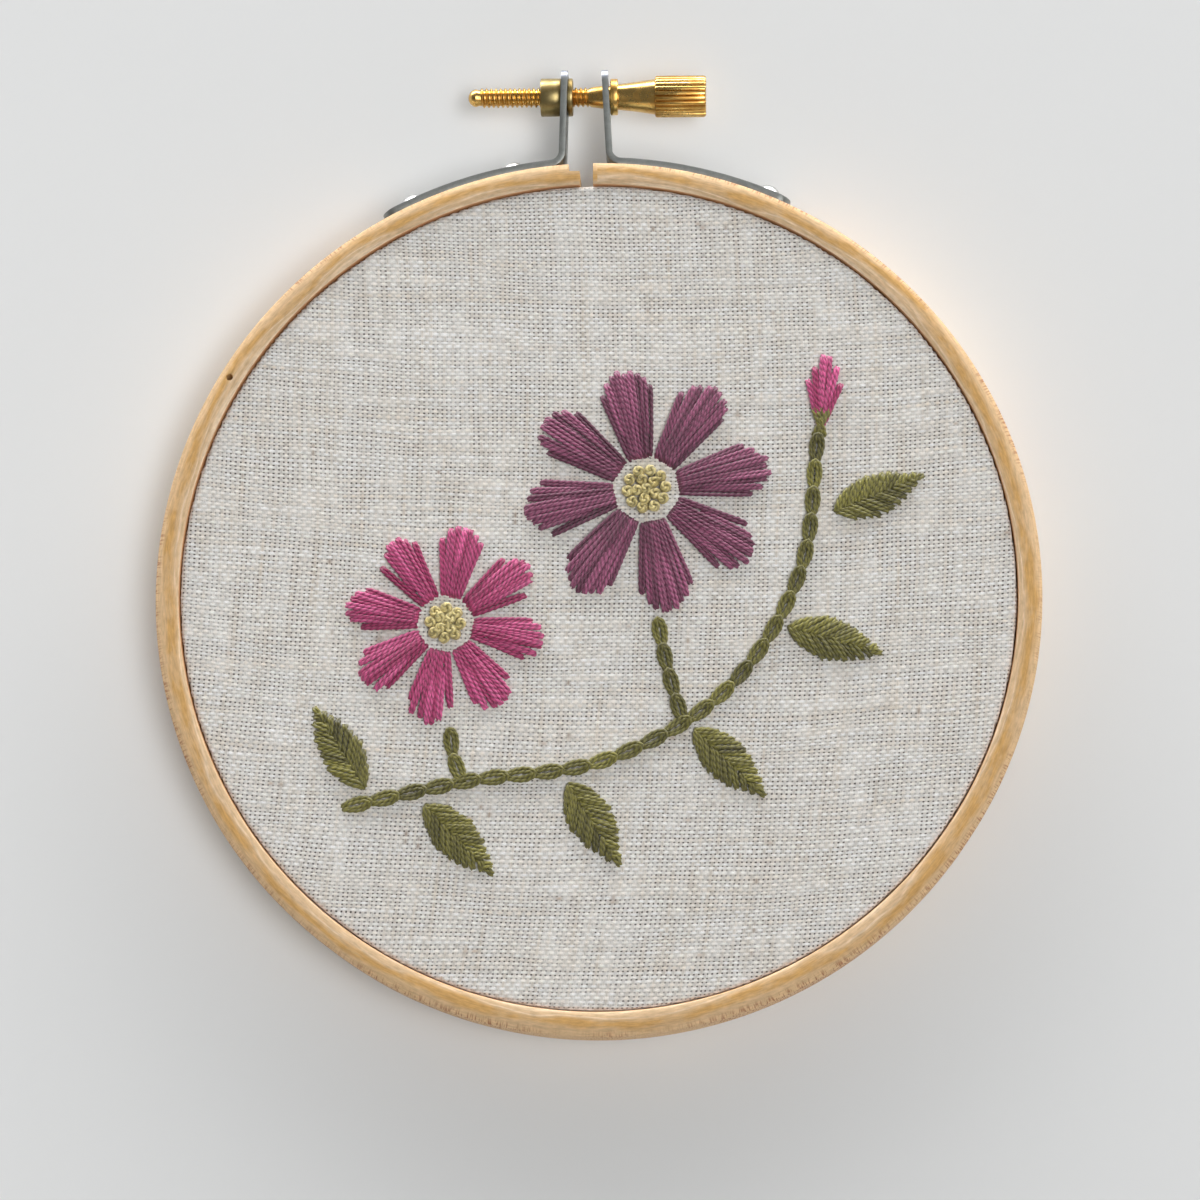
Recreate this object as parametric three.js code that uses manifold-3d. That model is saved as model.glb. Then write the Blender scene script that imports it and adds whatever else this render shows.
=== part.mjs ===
// Embroidered cloth in a four-inch wooden hoop, lying on its back with the stitched face up.
// Millimetres, +Z out of the face, +Y towards the tightening screw.
import * as THREE from 'three';
import { mergeVertices } from 'three/addons/utils/BufferGeometryUtils.js';
import Module from 'manifold-3d';

const wasm = await Module();
wasm.setup();

// Clearance between neighbouring pieces
const GAP = 0.3;

// Hoops. The nominal size is measured across the cloth, drawn over the inner hoop.
const NOMINAL = 101.6;
const HOOP_DEPTH = 9.5;
const OUTER_WALL = 3.0;
const OUTER_EDGE_ROUND = 1.2;
const INNER_EDGE_ROUND = 0.5;
const INNER_WALL = 3.0;
const HOOP_SEGMENTS = 72;
const CLOTH_RADIUS = NOMINAL / 2;
const BORE_RADIUS = CLOTH_RADIUS + GAP;
const OUTER_RADIUS = BORE_RADIUS + OUTER_WALL;

// Split of the outer hoop at the top, measured along X from the hoop's middle
const SPLIT_RIGHT_X = -0.55;
const SPLIT_LEFT_X = -2.2;
const STEP_LEFT_X = -3.6;
const STEP_DEPTH = 0.9;
const PINHOLE = { radius: 0.42, depth: 2.2, angle: 149.4, fromMiddle: 52.7 };

// Cloth, drawn over the inner hoop
const CLOTH_THICKNESS = 1.0;
const CLOTH_RECESS = 0.5;
const CLOTH_ROUND = 1.3;
const CLOTH_EDGE_Z = 0.8;
const FACE_Z = HOOP_DEPTH - CLOTH_RECESS;
const CLOTH_BORE = CLOTH_RADIUS - CLOTH_THICKNESS;
const INNER_RADIUS = CLOTH_BORE - GAP;
const INNER_TOP_Z = FACE_Z - CLOTH_THICKNESS - GAP;

// Steel straps with their uprights, which lean towards each other
const STRAP_THICKNESS = 0.8;
const STRAP_WIDTH = 7.0;
const STRAP_BEND = 1.6;
const STRAP_CORNER = 1.6;
const STRAP_MIDDLE_Z = HOOP_DEPTH / 2;
const STRAP_RADIUS = OUTER_RADIUS + GAP + STRAP_THICKNESS / 2;
const UPRIGHT_TOP = 66.3;
const UPRIGHTS = [
  { name: 'lug_left', side: -1, axisX: 4.25, lean: 1.5, footAngle: 29.2, holeRadius: 2.2 },
  { name: 'lug_right', side: 1, axisX: 0.98, lean: 3, footAngle: 25.9, holeRadius: 1.75 },
];

// Rivets: angle away from the top, on either side
const RIVET = { headRadius: 1.6, headHeight: 1.4, shankRadius: 0.75, endCover: 0.5, sides: 12 };
const DOME_SHARES = [0, 0.4, 0.75];
const RIVETS = [
  { name: 'rivet_left_near', angle: 11.2 },
  { name: 'rivet_left_far', angle: 25.0 },
  { name: 'rivet_right_near', angle: -8.2 },
  { name: 'rivet_right_far', angle: -22.7 },
];

// Brass screw and its bush. Places along X are measured from the hoop's middle.
const SCREW_Y = 63.8;
const SCREW = {
  tipX: -16.4,
  threadX: -15.0,
  shankX: -1.35,
  flangeX: 1.72,
  neckX: 2.45,
  knobX: 7.1,
  endX: 13.55,
};
const THREAD = { crest: 1.25, root: 0.98, turns: 23, sides: 10 };
const TIP = { faceRadius: 0.72, faceLength: 0.22, radius: 1.12, length: 0.9 };
const SHANK = { radius: 1.42, length: 1.2 };
const FLANGE = { radius: 2.28, chamfer: 0.25 };
const OVERLAP = 0.2;
const NECK = { thinRadius: 1.62, thickRadius: 2.2 };
const KNOB = { radius: 2.6, fluteDepth: 0.2, flutes: 24, chamfer: 0.45 };
const NUT = {
  leftX: -7.26,
  rightX: -3.2,
  radius: 2.38,
  neckRadius: 1.9,
  boreRadius: 1.55,
  chamfer: 0.2,
  sides: 20,
};

// Stitching on the face. Places are measured from the hoop's middle, angles from +X.
const STITCH_Z = FACE_Z + GAP;
const STITCH_HEIGHT = 0.8;
const BLOSSOMS = [
  { name: 'plum', x: 6, y: 12.5, petals: 8, start: 3.9, length: 11.4, width: 7.6, turn: 11, heart: 2.8 },
  { name: 'magenta', x: -18.5, y: -4, petals: 8, start: 3.3, length: 9.0, width: 6.2, turn: 34, heart: 2.3 },
];
const PETAL_RIDGES = 5;
const PETAL_STATIONS = [
  { along: 0, full: 0.34, high: 0.6 },
  { along: 0.2, full: 0.6, high: 0.95 },
  { along: 0.5, full: 0.97, high: 1 },
  { along: 0.72, full: 0.94, high: 0.95 },
  { along: 0.9, full: 0.62, high: 0.8 },
  { along: 1, full: 0.2, high: 0.5 },
];
const LEAF_STATIONS = [
  { along: 0, full: 0.12, high: 0.5 },
  { along: 0.18, full: 0.62, high: 0.9 },
  { along: 0.42, full: 1, high: 1 },
  { along: 0.68, full: 0.78, high: 0.95 },
  { along: 0.88, full: 0.36, high: 0.8 },
  { along: 1, full: 0.08, high: 0.5 },
];
const CROWN_DROP = 0.35;
const VALLEY = 0.72;
const HEART = { knotShare: 0.42, ring: 6, padHeight: 0.4, sides: 12 };
const BUD = { x: 27.3, y: 20.4, length: 9.2, width: 5.4, angle: 84, ridges: 4 };
const LEAVES = [
  { name: 'leaf_1', x: -28.1, y: -24.3, angle: 122 },
  { name: 'leaf_2', x: -20.9, y: -26.1, angle: -46 },
  { name: 'leaf_3', x: -3.6, y: -23.5, angle: -58 },
  { name: 'leaf_4', x: 11.6, y: -17.0, angle: -44 },
  { name: 'leaf_5', x: 23.0, y: -4.6, angle: -16 },
  { name: 'leaf_6', x: 28.8, y: 9.6, angle: 22 },
];
const LEAF = { length: 12.0, width: 5.4, ridges: 2 };
const LINK = { length: 3.3, width: 1.9, swell: [0.62, 1, 0.92], lobe: 0.55, groove: 0.6 };
const STEM = [[-31, -26.6], [-16, -23.4], [1, -20.8], [15.5, -12.4], [24.6, 2], [27, 18.8]];
const STALKS = [
  [[10.4, -16.4], [8.4, -9.2], [7.4, -4]],
  [[-16.2, -23.6], [-17.4, -20.4], [-17.8, -17.4]],
];

const DEGREE = Math.PI / 180;

// The part lies with the middle of its outline over the origin. The knob reaches furthest along +Y.
const MIDDLE_Y = (OUTER_RADIUS - SCREW_Y - KNOB.radius) / 2;

const COLOURS = {
  wood: { color: 0xd9b183, roughness: 0.55, metalness: 0 },
  linen: { color: 0xcdc8c1, roughness: 0.95, metalness: 0 },
  steel: { color: 0x6a6d6b, roughness: 0.4, metalness: 1 },
  bright_steel: { color: 0xd8d8d6, roughness: 0.25, metalness: 1 },
  brass: { color: 0xc89a3a, roughness: 0.3, metalness: 1 },
  plum: { color: 0x6b2f47, roughness: 0.7, metalness: 0 },
  magenta: { color: 0xa52d62, roughness: 0.7, metalness: 0 },
  straw: { color: 0xc8b97c, roughness: 0.7, metalness: 0 },
  olive: { color: 0x5f5a1e, roughness: 0.7, metalness: 0 },
};

// Closed body from any closed geometry, ready for cuts and joins
function body(geometry) {
  geometry.deleteAttribute('normal');
  geometry.deleteAttribute('uv');
  const merged = mergeVertices(geometry, 1e-4);
  const corners = merged.index.array;
  const kept = [];
  for (let t = 0; t < corners.length; t += 3) {
    const [a, b, c] = [corners[t], corners[t + 1], corners[t + 2]];
    if (a !== b && b !== c && c !== a) kept.push(a, b, c);
  }
  const vertProperties = new Float32Array(merged.attributes.position.array);
  return new wasm.Manifold(new wasm.Mesh({ numProp: 3, vertProperties, triVerts: new Uint32Array(kept) }));
}

function geometryOf(manifold) {
  const mesh = manifold.getMesh();
  const geometry = new THREE.BufferGeometry();
  geometry.setAttribute('position', new THREE.BufferAttribute(mesh.vertProperties, 3));
  geometry.setIndex(new THREE.BufferAttribute(mesh.triVerts, 1));
  return geometry;
}

function piece(name, manifold, colour) {
  const mesh = new THREE.Mesh(geometryOf(manifold), new THREE.MeshStandardMaterial(COLOURS[colour]));
  mesh.name = name;
  return mesh;
}

// Body of revolution about Z from a closed profile of [radius, height] pairs, running up its outer side
function turned(profile, segments) {
  const points = [...profile, profile[0]].map(([r, z]) => new THREE.Vector2(r, z));
  return body(new THREE.LatheGeometry(points, segments).rotateX(Math.PI / 2));
}

// The same about X, with heights read along +X
function turnedAlongX(profile, segments) {
  const points = [...profile, profile[0]].map(([r, x]) => new THREE.Vector2(r, x));
  return body(new THREE.LatheGeometry(points, segments).rotateZ(-Math.PI / 2));
}

// Quarter arc of profile points, angles in degrees
function arc(r, z, radius, from, to, steps) {
  return Array.from({ length: steps + 1 }, (_, k) => {
    const angle = (from + ((to - from) * k) / steps) * DEGREE;
    return [r + radius * Math.cos(angle), z + radius * Math.sin(angle)];
  });
}

// Skin over outlines of [across, up] pairs, one for each frame along a path, closed at both ends
function loft(frames, outlines) {
  const count = outlines[0].length;
  const positions = frames.flatMap(({ point, across, up }, s) =>
    outlines[s].flatMap(([u, v]) =>
      point.clone().addScaledVector(across, u).addScaledVector(up, v).toArray()));
  const index = [];
  for (let s = 0; s + 1 < frames.length; s++) {
    for (let k = 0; k < count; k++) {
      const a = s * count + k;
      const b = s * count + ((k + 1) % count);
      index.push(a, a + count, b, b, a + count, b + count);
    }
  }
  const flat = (outline) => outline.map(([u, v]) => new THREE.Vector2(u, v));
  const last = (frames.length - 1) * count;
  for (const [a, b, c] of THREE.ShapeUtils.triangulateShape(flat(outlines[0]), [])) index.push(a, b, c);
  for (const [a, b, c] of THREE.ShapeUtils.triangulateShape(flat(outlines.at(-1)), [])) {
    index.push(last + a, last + c, last + b);
  }
  const geometry = new THREE.BufferGeometry();
  geometry.setAttribute('position', new THREE.Float32BufferAttribute(positions, 3));
  geometry.setIndex(index);
  return body(geometry);
}

// Frame at a point of a flat path, with across to the right of the travel
function flatFrame(point, tangent) {
  const across = new THREE.Vector3(tangent.y, -tangent.x, 0).normalize();
  return { point, across, up: new THREE.Vector3(0, 0, 1) };
}

function box(minX, maxX, minY, maxY, minZ, maxZ) {
  const geometry = new THREE.BoxGeometry(maxX - minX, maxY - minY, maxZ - minZ);
  return body(geometry.translate((minX + maxX) / 2, (minY + maxY) / 2, (minZ + maxZ) / 2));
}

// Round rod along Z, for holes
function rod(radius, fromZ, toZ, sides) {
  return turned([[0, fromZ], [radius, fromZ], [radius, toZ], [0, toZ]], sides);
}

// Radial rod through hoop and strap, seen at an angle left of the top
function radialRod(radius, fromR, toR, angle, sides) {
  const geometry = new THREE.CylinderGeometry(radius, radius, toR - fromR, sides);
  return body(geometry.translate(0, (fromR + toR) / 2, STRAP_MIDDLE_Z).rotateZ(angle * DEGREE));
}

function outerHoop() {
  const inner = INNER_EDGE_ROUND;
  const outer = OUTER_EDGE_ROUND;
  let hoop = turned([
    ...arc(BORE_RADIUS + inner, inner, inner, 180, 270, 1),
    ...arc(OUTER_RADIUS - outer, outer, outer, -90, 0, 3),
    ...arc(OUTER_RADIUS - outer, HOOP_DEPTH - outer, outer, 0, 90, 3),
    ...arc(BORE_RADIUS + inner, HOOP_DEPTH - inner, inner, 90, 180, 1),
  ], HOOP_SEGMENTS);
  const past = 1;
  const outside = OUTER_RADIUS + past;
  hoop = hoop.subtract(box(SPLIT_LEFT_X, SPLIT_RIGHT_X, 0, outside, -past, HOOP_DEPTH + past));
  const stepY = OUTER_RADIUS - STEP_DEPTH;
  hoop = hoop.subtract(box(STEP_LEFT_X, SPLIT_RIGHT_X, stepY, outside, -past, HOOP_DEPTH + past));
  const pinX = PINHOLE.fromMiddle * Math.cos(PINHOLE.angle * DEGREE);
  const pinY = PINHOLE.fromMiddle * Math.sin(PINHOLE.angle * DEGREE);
  const pin = rod(PINHOLE.radius, HOOP_DEPTH - PINHOLE.depth, HOOP_DEPTH + past, 8);
  hoop = hoop.subtract(pin.translate([pinX, pinY, 0]));
  for (const { angle } of RIVETS) {
    const hole = radialRod(RIVET.shankRadius + GAP, BORE_RADIUS - past, outside, angle, RIVET.sides);
    hoop = hoop.subtract(hole);
  }
  return piece('outer_hoop', hoop, 'wood');
}

function innerHoop() {
  const bore = INNER_RADIUS - INNER_WALL;
  const round = INNER_EDGE_ROUND;
  const hoop = turned([
    [bore, 0],
    [INNER_RADIUS, 0],
    ...arc(INNER_RADIUS - round, INNER_TOP_Z - round, round, 0, 90, 1),
    ...arc(bore + round, INNER_TOP_Z - round, round, 90, 180, 1),
  ], HOOP_SEGMENTS);
  return piece('inner_hoop', hoop, 'wood');
}

function cloth() {
  const back = FACE_Z - CLOTH_THICKNESS;
  const turnIn = CLOTH_ROUND - CLOTH_THICKNESS;
  const sheet = turned([
    [CLOTH_BORE, CLOTH_EDGE_Z],
    [CLOTH_RADIUS, CLOTH_EDGE_Z],
    ...arc(CLOTH_RADIUS - CLOTH_ROUND, FACE_Z - CLOTH_ROUND, CLOTH_ROUND, 0, 90, 3),
    [0, FACE_Z],
    [0, back],
    ...arc(CLOTH_BORE - turnIn, back - turnIn, turnIn, 90, 0, 1),
  ], HOOP_SEGMENTS);
  return piece('cloth', sheet, 'linen');
}

// Bent strap: a foot round the hoop, a tight bend, and an upright drilled for the screw
function lug({ name, side, axisX, lean, footAngle, holeRadius }) {
  // Worked out as a left-hand strap, and mirrored for the right-hand one
  const tilt = lean * DEGREE;
  const bendX = -axisX - (SCREW_Y - OUTER_RADIUS) * Math.tan(tilt) - STRAP_BEND;
  const bendRadius = STRAP_RADIUS + STRAP_BEND;
  const bendY = Math.sqrt(bendRadius ** 2 - bendX ** 2);
  const footEnd = Math.atan2(bendY, bendX);
  const footStart = Math.PI / 2 + footAngle * DEGREE;
  const track = [];
  const footSteps = 14;
  const footLength = (footStart - footEnd) * STRAP_RADIUS;
  for (let k = 0; k <= footSteps; k++) {
    const along = footLength * Math.min(1, (k / footSteps) ** 1.25);
    const angle = footStart - along / STRAP_RADIUS;
    track.push({
      at: [STRAP_RADIUS * Math.cos(angle), STRAP_RADIUS * Math.sin(angle)],
      heading: [Math.sin(angle), -Math.cos(angle)],
      toEnd: along,
    });
  }
  const bendSteps = 6;
  const bendFrom = footEnd + Math.PI;
  const bendTo = 2 * Math.PI - tilt;
  for (let k = 1; k <= bendSteps; k++) {
    const angle = bendFrom + ((bendTo - bendFrom) * k) / bendSteps;
    track.push({
      at: [bendX + STRAP_BEND * Math.cos(angle), bendY + STRAP_BEND * Math.sin(angle)],
      heading: [-Math.sin(angle), Math.cos(angle)],
      toEnd: STRAP_CORNER,
    });
  }
  const base = track.at(-1);
  const rise = (UPRIGHT_TOP - base.at[1]) / base.heading[1];
  for (const left of [STRAP_CORNER, STRAP_CORNER * 0.6, STRAP_CORNER * 0.3, STRAP_CORNER * 0.1, 0]) {
    const along = rise - left;
    track.push({
      at: [base.at[0] + base.heading[0] * along, base.at[1] + base.heading[1] * along],
      heading: base.heading,
      toEnd: left,
    });
  }
  const frames = track.map(({ at, heading }) =>
    flatFrame(new THREE.Vector3(at[0], at[1], STRAP_MIDDLE_Z), new THREE.Vector3(...heading, 0)));
  const thick = STRAP_THICKNESS / 2;
  const outlines = track.map(({ toEnd }) => {
    const short = STRAP_CORNER - Math.min(toEnd, STRAP_CORNER);
    const wide = STRAP_WIDTH / 2 - STRAP_CORNER + Math.sqrt(STRAP_CORNER ** 2 - short ** 2);
    return [[-thick, -wide], [thick, -wide], [thick, wide], [-thick, wide]];
  });
  let strap = loft(frames, outlines);
  if (side > 0) strap = strap.mirror([1, 0, 0]);
  const reach = 2;
  const hole = turnedAlongX([[0, -reach], [holeRadius, -reach], [holeRadius, reach], [0, reach]], NUT.sides);
  strap = strap.subtract(hole.translate([side * axisX, SCREW_Y, STRAP_MIDDLE_Z]));
  for (const { angle } of RIVETS.filter((rivet) => rivet.angle * side < 0)) {
    const outside = OUTER_RADIUS + 2 * STRAP_THICKNESS;
    strap = strap.subtract(radialRod(RIVET.shankRadius + GAP, BORE_RADIUS, outside, angle, RIVET.sides));
  }
  return piece(name, strap, 'steel');
}

// Round-headed rivet, its head over the strap and its shank in the wood
function rivet({ name, angle }) {
  const seat = OUTER_RADIUS + STRAP_THICKNESS + 2 * GAP;
  const { headRadius, headHeight, shankRadius, endCover, sides } = RIVET;
  const end = BORE_RADIUS + endCover;
  const profile = [
    [0, end],
    [shankRadius, end],
    [shankRadius, seat],
    ...DOME_SHARES.map((share) => [headRadius * Math.cos(share * Math.PI / 2),
      seat + headHeight * Math.sin(share * Math.PI / 2)]),
    [0, seat + headHeight],
  ];
  const points = profile.map(([r, y]) => new THREE.Vector2(r, y));
  const geometry = new THREE.LatheGeometry(points, sides);
  geometry.translate(0, 0, STRAP_MIDDLE_Z).rotateZ(angle * DEGREE);
  return piece(name, body(geometry), 'bright_steel');
}

function nut() {
  const { leftX, rightX, radius, neckRadius, boreRadius, chamfer, sides } = NUT;
  const lugX = -UPRIGHTS[0].axisX;
  const half = STRAP_THICKNESS / 2 + GAP;
  const bush = turnedAlongX([
    [boreRadius, leftX],
    [radius - chamfer, leftX],
    [radius, leftX + chamfer],
    [radius, lugX - half],
    [neckRadius, lugX - half],
    [neckRadius, lugX + half],
    [radius, lugX + half],
    [radius - chamfer, rightX],
    [boreRadius, rightX],
  ], sides);
  return piece('nut', bush.translate([0, SCREW_Y, STRAP_MIDDLE_Z]), 'brass');
}

// Fluted knob, chamfered at both ends
function knob() {
  const { radius, fluteDepth, flutes, chamfer } = KNOB;
  const { knobX, endX } = SCREW;
  const corners = 2 * flutes;
  const outline = (rim) => Array.from({ length: corners }, (_, k) => {
    const angle = (k * 2 * Math.PI) / corners;
    const r = rim - (k % 2) * fluteDepth;
    return [r * Math.cos(angle), r * Math.sin(angle)];
  });
  const stations = [
    { x: knobX, rim: radius - chamfer },
    { x: knobX + chamfer, rim: radius },
    { x: endX - chamfer, rim: radius },
    { x: endX, rim: radius - chamfer },
  ];
  const frames = stations.map(({ x }) => flatFrame(new THREE.Vector3(x, 0, 0), new THREE.Vector3(1, 0, 0)));
  return loft(frames, stations.map(({ rim }) => outline(rim)));
}

function screw() {
  const { tipX, threadX, shankX, flangeX, neckX, knobX } = SCREW;
  const pitch = (shankX - threadX) / THREAD.turns;
  const thread = [];
  for (let k = 0; k < THREAD.turns; k++) {
    const x = threadX + k * pitch;
    thread.push([THREAD.root, x], [THREAD.crest, x + pitch / 2]);
  }
  const shank = turnedAlongX([
    [0, tipX],
    [TIP.faceRadius, tipX + TIP.faceLength],
    [TIP.radius, tipX + TIP.length],
    ...thread,
    [THREAD.crest, shankX],
    [SHANK.radius, flangeX - SHANK.length],
    [SHANK.radius, flangeX + OVERLAP],
    [0, flangeX + OVERLAP],
  ], THREAD.sides);
  const head = turnedAlongX([
    [0, flangeX],
    [FLANGE.radius - FLANGE.chamfer, flangeX],
    [FLANGE.radius, flangeX + FLANGE.chamfer],
    [FLANGE.radius, neckX - FLANGE.chamfer],
    [NECK.thinRadius, neckX],
    [NECK.thickRadius, knobX + OVERLAP],
    [0, knobX + OVERLAP],
  ], NUT.sides);
  const whole = shank.add(head).add(knob());
  return piece('screw', whole.translate([0, SCREW_Y, STRAP_MIDDLE_Z]), 'brass');
}

// Block of straight stitches lying side by side along +X: narrow ends, ridged top, flat back
function stitchBlock(length, width, ridges, stations) {
  const frames = stations.map(({ along }) =>
    flatFrame(new THREE.Vector3(along * length, 0, 0), new THREE.Vector3(1, 0, 0)));
  const outlines = stations.map(({ full, high }) => {
    const half = (full * width) / 2;
    const top = [];
    for (let k = 1; k < 2 * ridges; k++) {
      const across = half * (1 - k / ridges);
      const crown = 1 - CROWN_DROP * (across / half) ** 2;
      const valley = k % 2 === 0 ? VALLEY : 1;
      top.push([across, STITCH_HEIGHT * high * crown * valley]);
    }
    return [[-half, 0], [half, 0], ...top];
  });
  return loft(frames, outlines);
}

// Cushion of knots: one in the middle and a ring round it
function heart(radius) {
  const { knotShare, ring, padHeight, sides } = HEART;
  const knotRadius = radius * knotShare;
  let cushion = rod(radius, 0, padHeight, sides);
  for (let k = 0; k <= ring; k++) {
    const knot = body(new THREE.SphereGeometry(knotRadius, 8, 5).rotateX(Math.PI / 2));
    const away = k === 0 ? 0 : radius - knotRadius;
    const angle = (k * 2 * Math.PI) / ring;
    cushion = cushion.add(knot.translate([away * Math.cos(angle), away * Math.sin(angle), padHeight]));
  }
  return cushion.subtract(box(-radius, radius, -radius, radius, -radius, 0));
}

// Chain stitch along a flat path: two lobes with a groove between, swelling once in every link
function chain(points) {
  const path = new THREE.CatmullRomCurve3(points.map(([x, y]) => new THREE.Vector3(x, y, 0)));
  const links = Math.max(1, Math.round(path.getLength() / LINK.length));
  const { width, swell, lobe, groove } = LINK;
  const count = links * swell.length;
  const frames = [];
  const outlines = [];
  for (let k = 0; k <= count; k++) {
    frames.push(flatFrame(path.getPointAt(k / count), path.getTangentAt(k / count)));
    const half = (width / 2) * swell[k % swell.length];
    const high = STITCH_HEIGHT;
    outlines.push([[-half, 0], [half, 0], [half * lobe, high], [0, high * groove], [-half * lobe, high]]);
  }
  return loft(frames, outlines);
}

function placed(mesh, x, y, angle) {
  mesh.position.set(x, y, STITCH_Z);
  mesh.rotation.z = angle * DEGREE;
  return mesh;
}

function blossom({ name, x, y, petals, start, length, width, turn, heart: heartRadius }) {
  const group = new THREE.Group();
  group.position.set(x, y, STITCH_Z);
  for (let k = 0; k < petals; k++) {
    const angle = (turn + (k * 360) / petals) * DEGREE;
    const stitches = stitchBlock(length, width, PETAL_RIDGES, PETAL_STATIONS);
    const petal = piece(`petal_${name}_${k + 1}`, stitches, name);
    petal.position.set(start * Math.cos(angle), start * Math.sin(angle), 0);
    petal.rotation.z = angle;
    group.add(petal);
  }
  group.add(piece(`heart_${name}`, heart(heartRadius), 'straw'));
  return group;
}

function stem() {
  const whole = STALKS.reduce((joined, stalk) => joined.add(chain(stalk)), chain(STEM));
  return placed(piece('stem', whole, 'olive'), 0, 0, 0);
}

const part = new THREE.Group();
part.position.y = MIDDLE_Y;
part.add(outerHoop(), innerHoop(), cloth());
for (const upright of UPRIGHTS) part.add(lug(upright));
for (const place of RIVETS) part.add(rivet(place));
part.add(nut(), screw());
for (const flower of BLOSSOMS) part.add(blossom(flower));
part.add(stem());
const bud = piece('bud', stitchBlock(BUD.length, BUD.width, BUD.ridges, LEAF_STATIONS), 'magenta');
part.add(placed(bud, BUD.x, BUD.y, BUD.angle));
for (const { name, x, y, angle } of LEAVES) {
  const leaf = piece(name, stitchBlock(LEAF.length, LEAF.width, LEAF.ridges, LEAF_STATIONS), 'olive');
  part.add(placed(leaf, x, y, angle));
}

export default part;
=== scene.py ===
"""Embroidered linen in a round wooden hoop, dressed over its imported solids."""
import math

import bmesh
import bpy
import numpy as np
from bpy.props import FloatProperty, FloatVectorProperty, IntProperty, PointerProperty
from bpy.types import Operator, Panel, PropertyGroup
from mathutils import Matrix, Vector


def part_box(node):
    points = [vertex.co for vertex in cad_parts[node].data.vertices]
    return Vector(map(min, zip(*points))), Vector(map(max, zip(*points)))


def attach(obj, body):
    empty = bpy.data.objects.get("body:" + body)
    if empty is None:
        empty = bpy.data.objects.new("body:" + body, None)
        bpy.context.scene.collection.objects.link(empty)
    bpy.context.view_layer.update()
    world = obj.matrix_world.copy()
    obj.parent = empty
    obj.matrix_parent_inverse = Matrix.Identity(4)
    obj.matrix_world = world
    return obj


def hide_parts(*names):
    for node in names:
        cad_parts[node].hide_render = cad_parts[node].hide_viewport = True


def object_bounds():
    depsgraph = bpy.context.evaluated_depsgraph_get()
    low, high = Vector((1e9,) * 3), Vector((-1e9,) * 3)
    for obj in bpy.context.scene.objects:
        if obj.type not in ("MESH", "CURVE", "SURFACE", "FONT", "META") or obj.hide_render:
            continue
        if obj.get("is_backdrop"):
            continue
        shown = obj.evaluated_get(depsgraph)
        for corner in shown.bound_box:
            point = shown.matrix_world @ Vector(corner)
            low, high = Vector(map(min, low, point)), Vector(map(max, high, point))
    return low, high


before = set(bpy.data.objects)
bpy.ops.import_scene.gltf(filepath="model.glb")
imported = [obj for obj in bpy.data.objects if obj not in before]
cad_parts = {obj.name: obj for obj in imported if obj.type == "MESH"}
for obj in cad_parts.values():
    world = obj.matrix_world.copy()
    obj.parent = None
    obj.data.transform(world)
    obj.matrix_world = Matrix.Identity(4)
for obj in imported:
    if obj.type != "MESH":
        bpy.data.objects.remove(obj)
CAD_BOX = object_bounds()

bl_info = {
    "name": "Embroidery Hoop",
    "version": (1, 0, 0),
    "blender": (4, 5, 0),
    "location": "View3D > Sidebar > Hoop",
    "description": "Models a stitched linen in a bent wooden hoop with a brass thumb screw",
    "category": "Add Mesh",
}

MM = 0.001
SEED = 7

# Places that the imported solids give
OUTER_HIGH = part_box("outer_hoop")[1]
INNER_LOW, INNER_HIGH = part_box("inner_hoop")
CLOTH_LOW, CLOTH_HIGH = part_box("cloth")
SCREW_LOW, SCREW_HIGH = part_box("screw")
BUSH_LOW, BUSH_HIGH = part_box("nut")
LEFT_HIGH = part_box("lug_left")[1]
HOOP_MIDDLE = Vector((0, (INNER_LOW.y + INNER_HIGH.y) / 2, 0))
SCREW_MIDDLE = (SCREW_LOW + SCREW_HIGH) / 2
FACE_Z = CLOTH_HIGH.z

# Stitching, in millimetres from the middle of the hoop, angles in degrees from +X
BLOSSOMS = {
    "plum": {"at": (6, 12.5), "start": 3.9, "length": 11.4, "width": 7.6, "turn": 11, "heart": 2.8},
    "magenta": {"at": (-18.5, -4), "start": 3.3, "length": 9.0, "width": 6.2, "turn": 34, "heart": 2.3},
}
PETALS = 8
LEAVES = [
    (-28.1, -24.3, 122),
    (-20.9, -26.1, -46),
    (-3.6, -23.5, -58),
    (11.6, -17.0, -44),
    (23.0, -4.6, -16),
    (28.8, 9.6, 22),
]
LEAF_LENGTH, LEAF_WIDTH = 12.0, 5.4
BUD = {"at": (27.3, 20.4), "length": 9.2, "width": 5.4, "angle": 84}
STEM = [(-31, -26.6), (-16, -23.4), (1, -20.8), (15.5, -12.4), (24.6, 2), (27, 18.8)]
STALKS = [
    [(10.4, -16.4), (8.4, -9.2), (7.4, -4)],
    [(-16.2, -23.6), (-17.4, -20.4), (-17.8, -17.4)],
]
LINK_LENGTH, LINK_WIDTH = 3.3, 1.9

# Outlines of the stitch blocks: share of the length, share of the width
PETAL_OUTLINE = np.array([(0, 0.34), (0.2, 0.6), (0.5, 0.97), (0.72, 0.94), (0.9, 0.62), (1, 0.2)])
LEAF_OUTLINE = np.array([(0, 0.12), (0.18, 0.62), (0.42, 1), (0.68, 0.78), (0.88, 0.36), (1, 0.08)])


def shade(red, green, blue):
    """Scene colour of a display colour given from 0 to 255."""
    share = [value / 255 for value in (red, green, blue)]
    return tuple(v / 12.92 if v <= 0.04045 else ((v + 0.055) / 1.055) ** 2.4 for v in share)


def length_property(name, description, default):
    return FloatProperty(name=name, description=description, default=default, unit="LENGTH", precision=5)


def colour_property(name, description, red, green, blue):
    default = shade(red, green, blue)
    return FloatVectorProperty(name=name, description=description, default=default, subtype="COLOR")


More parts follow.
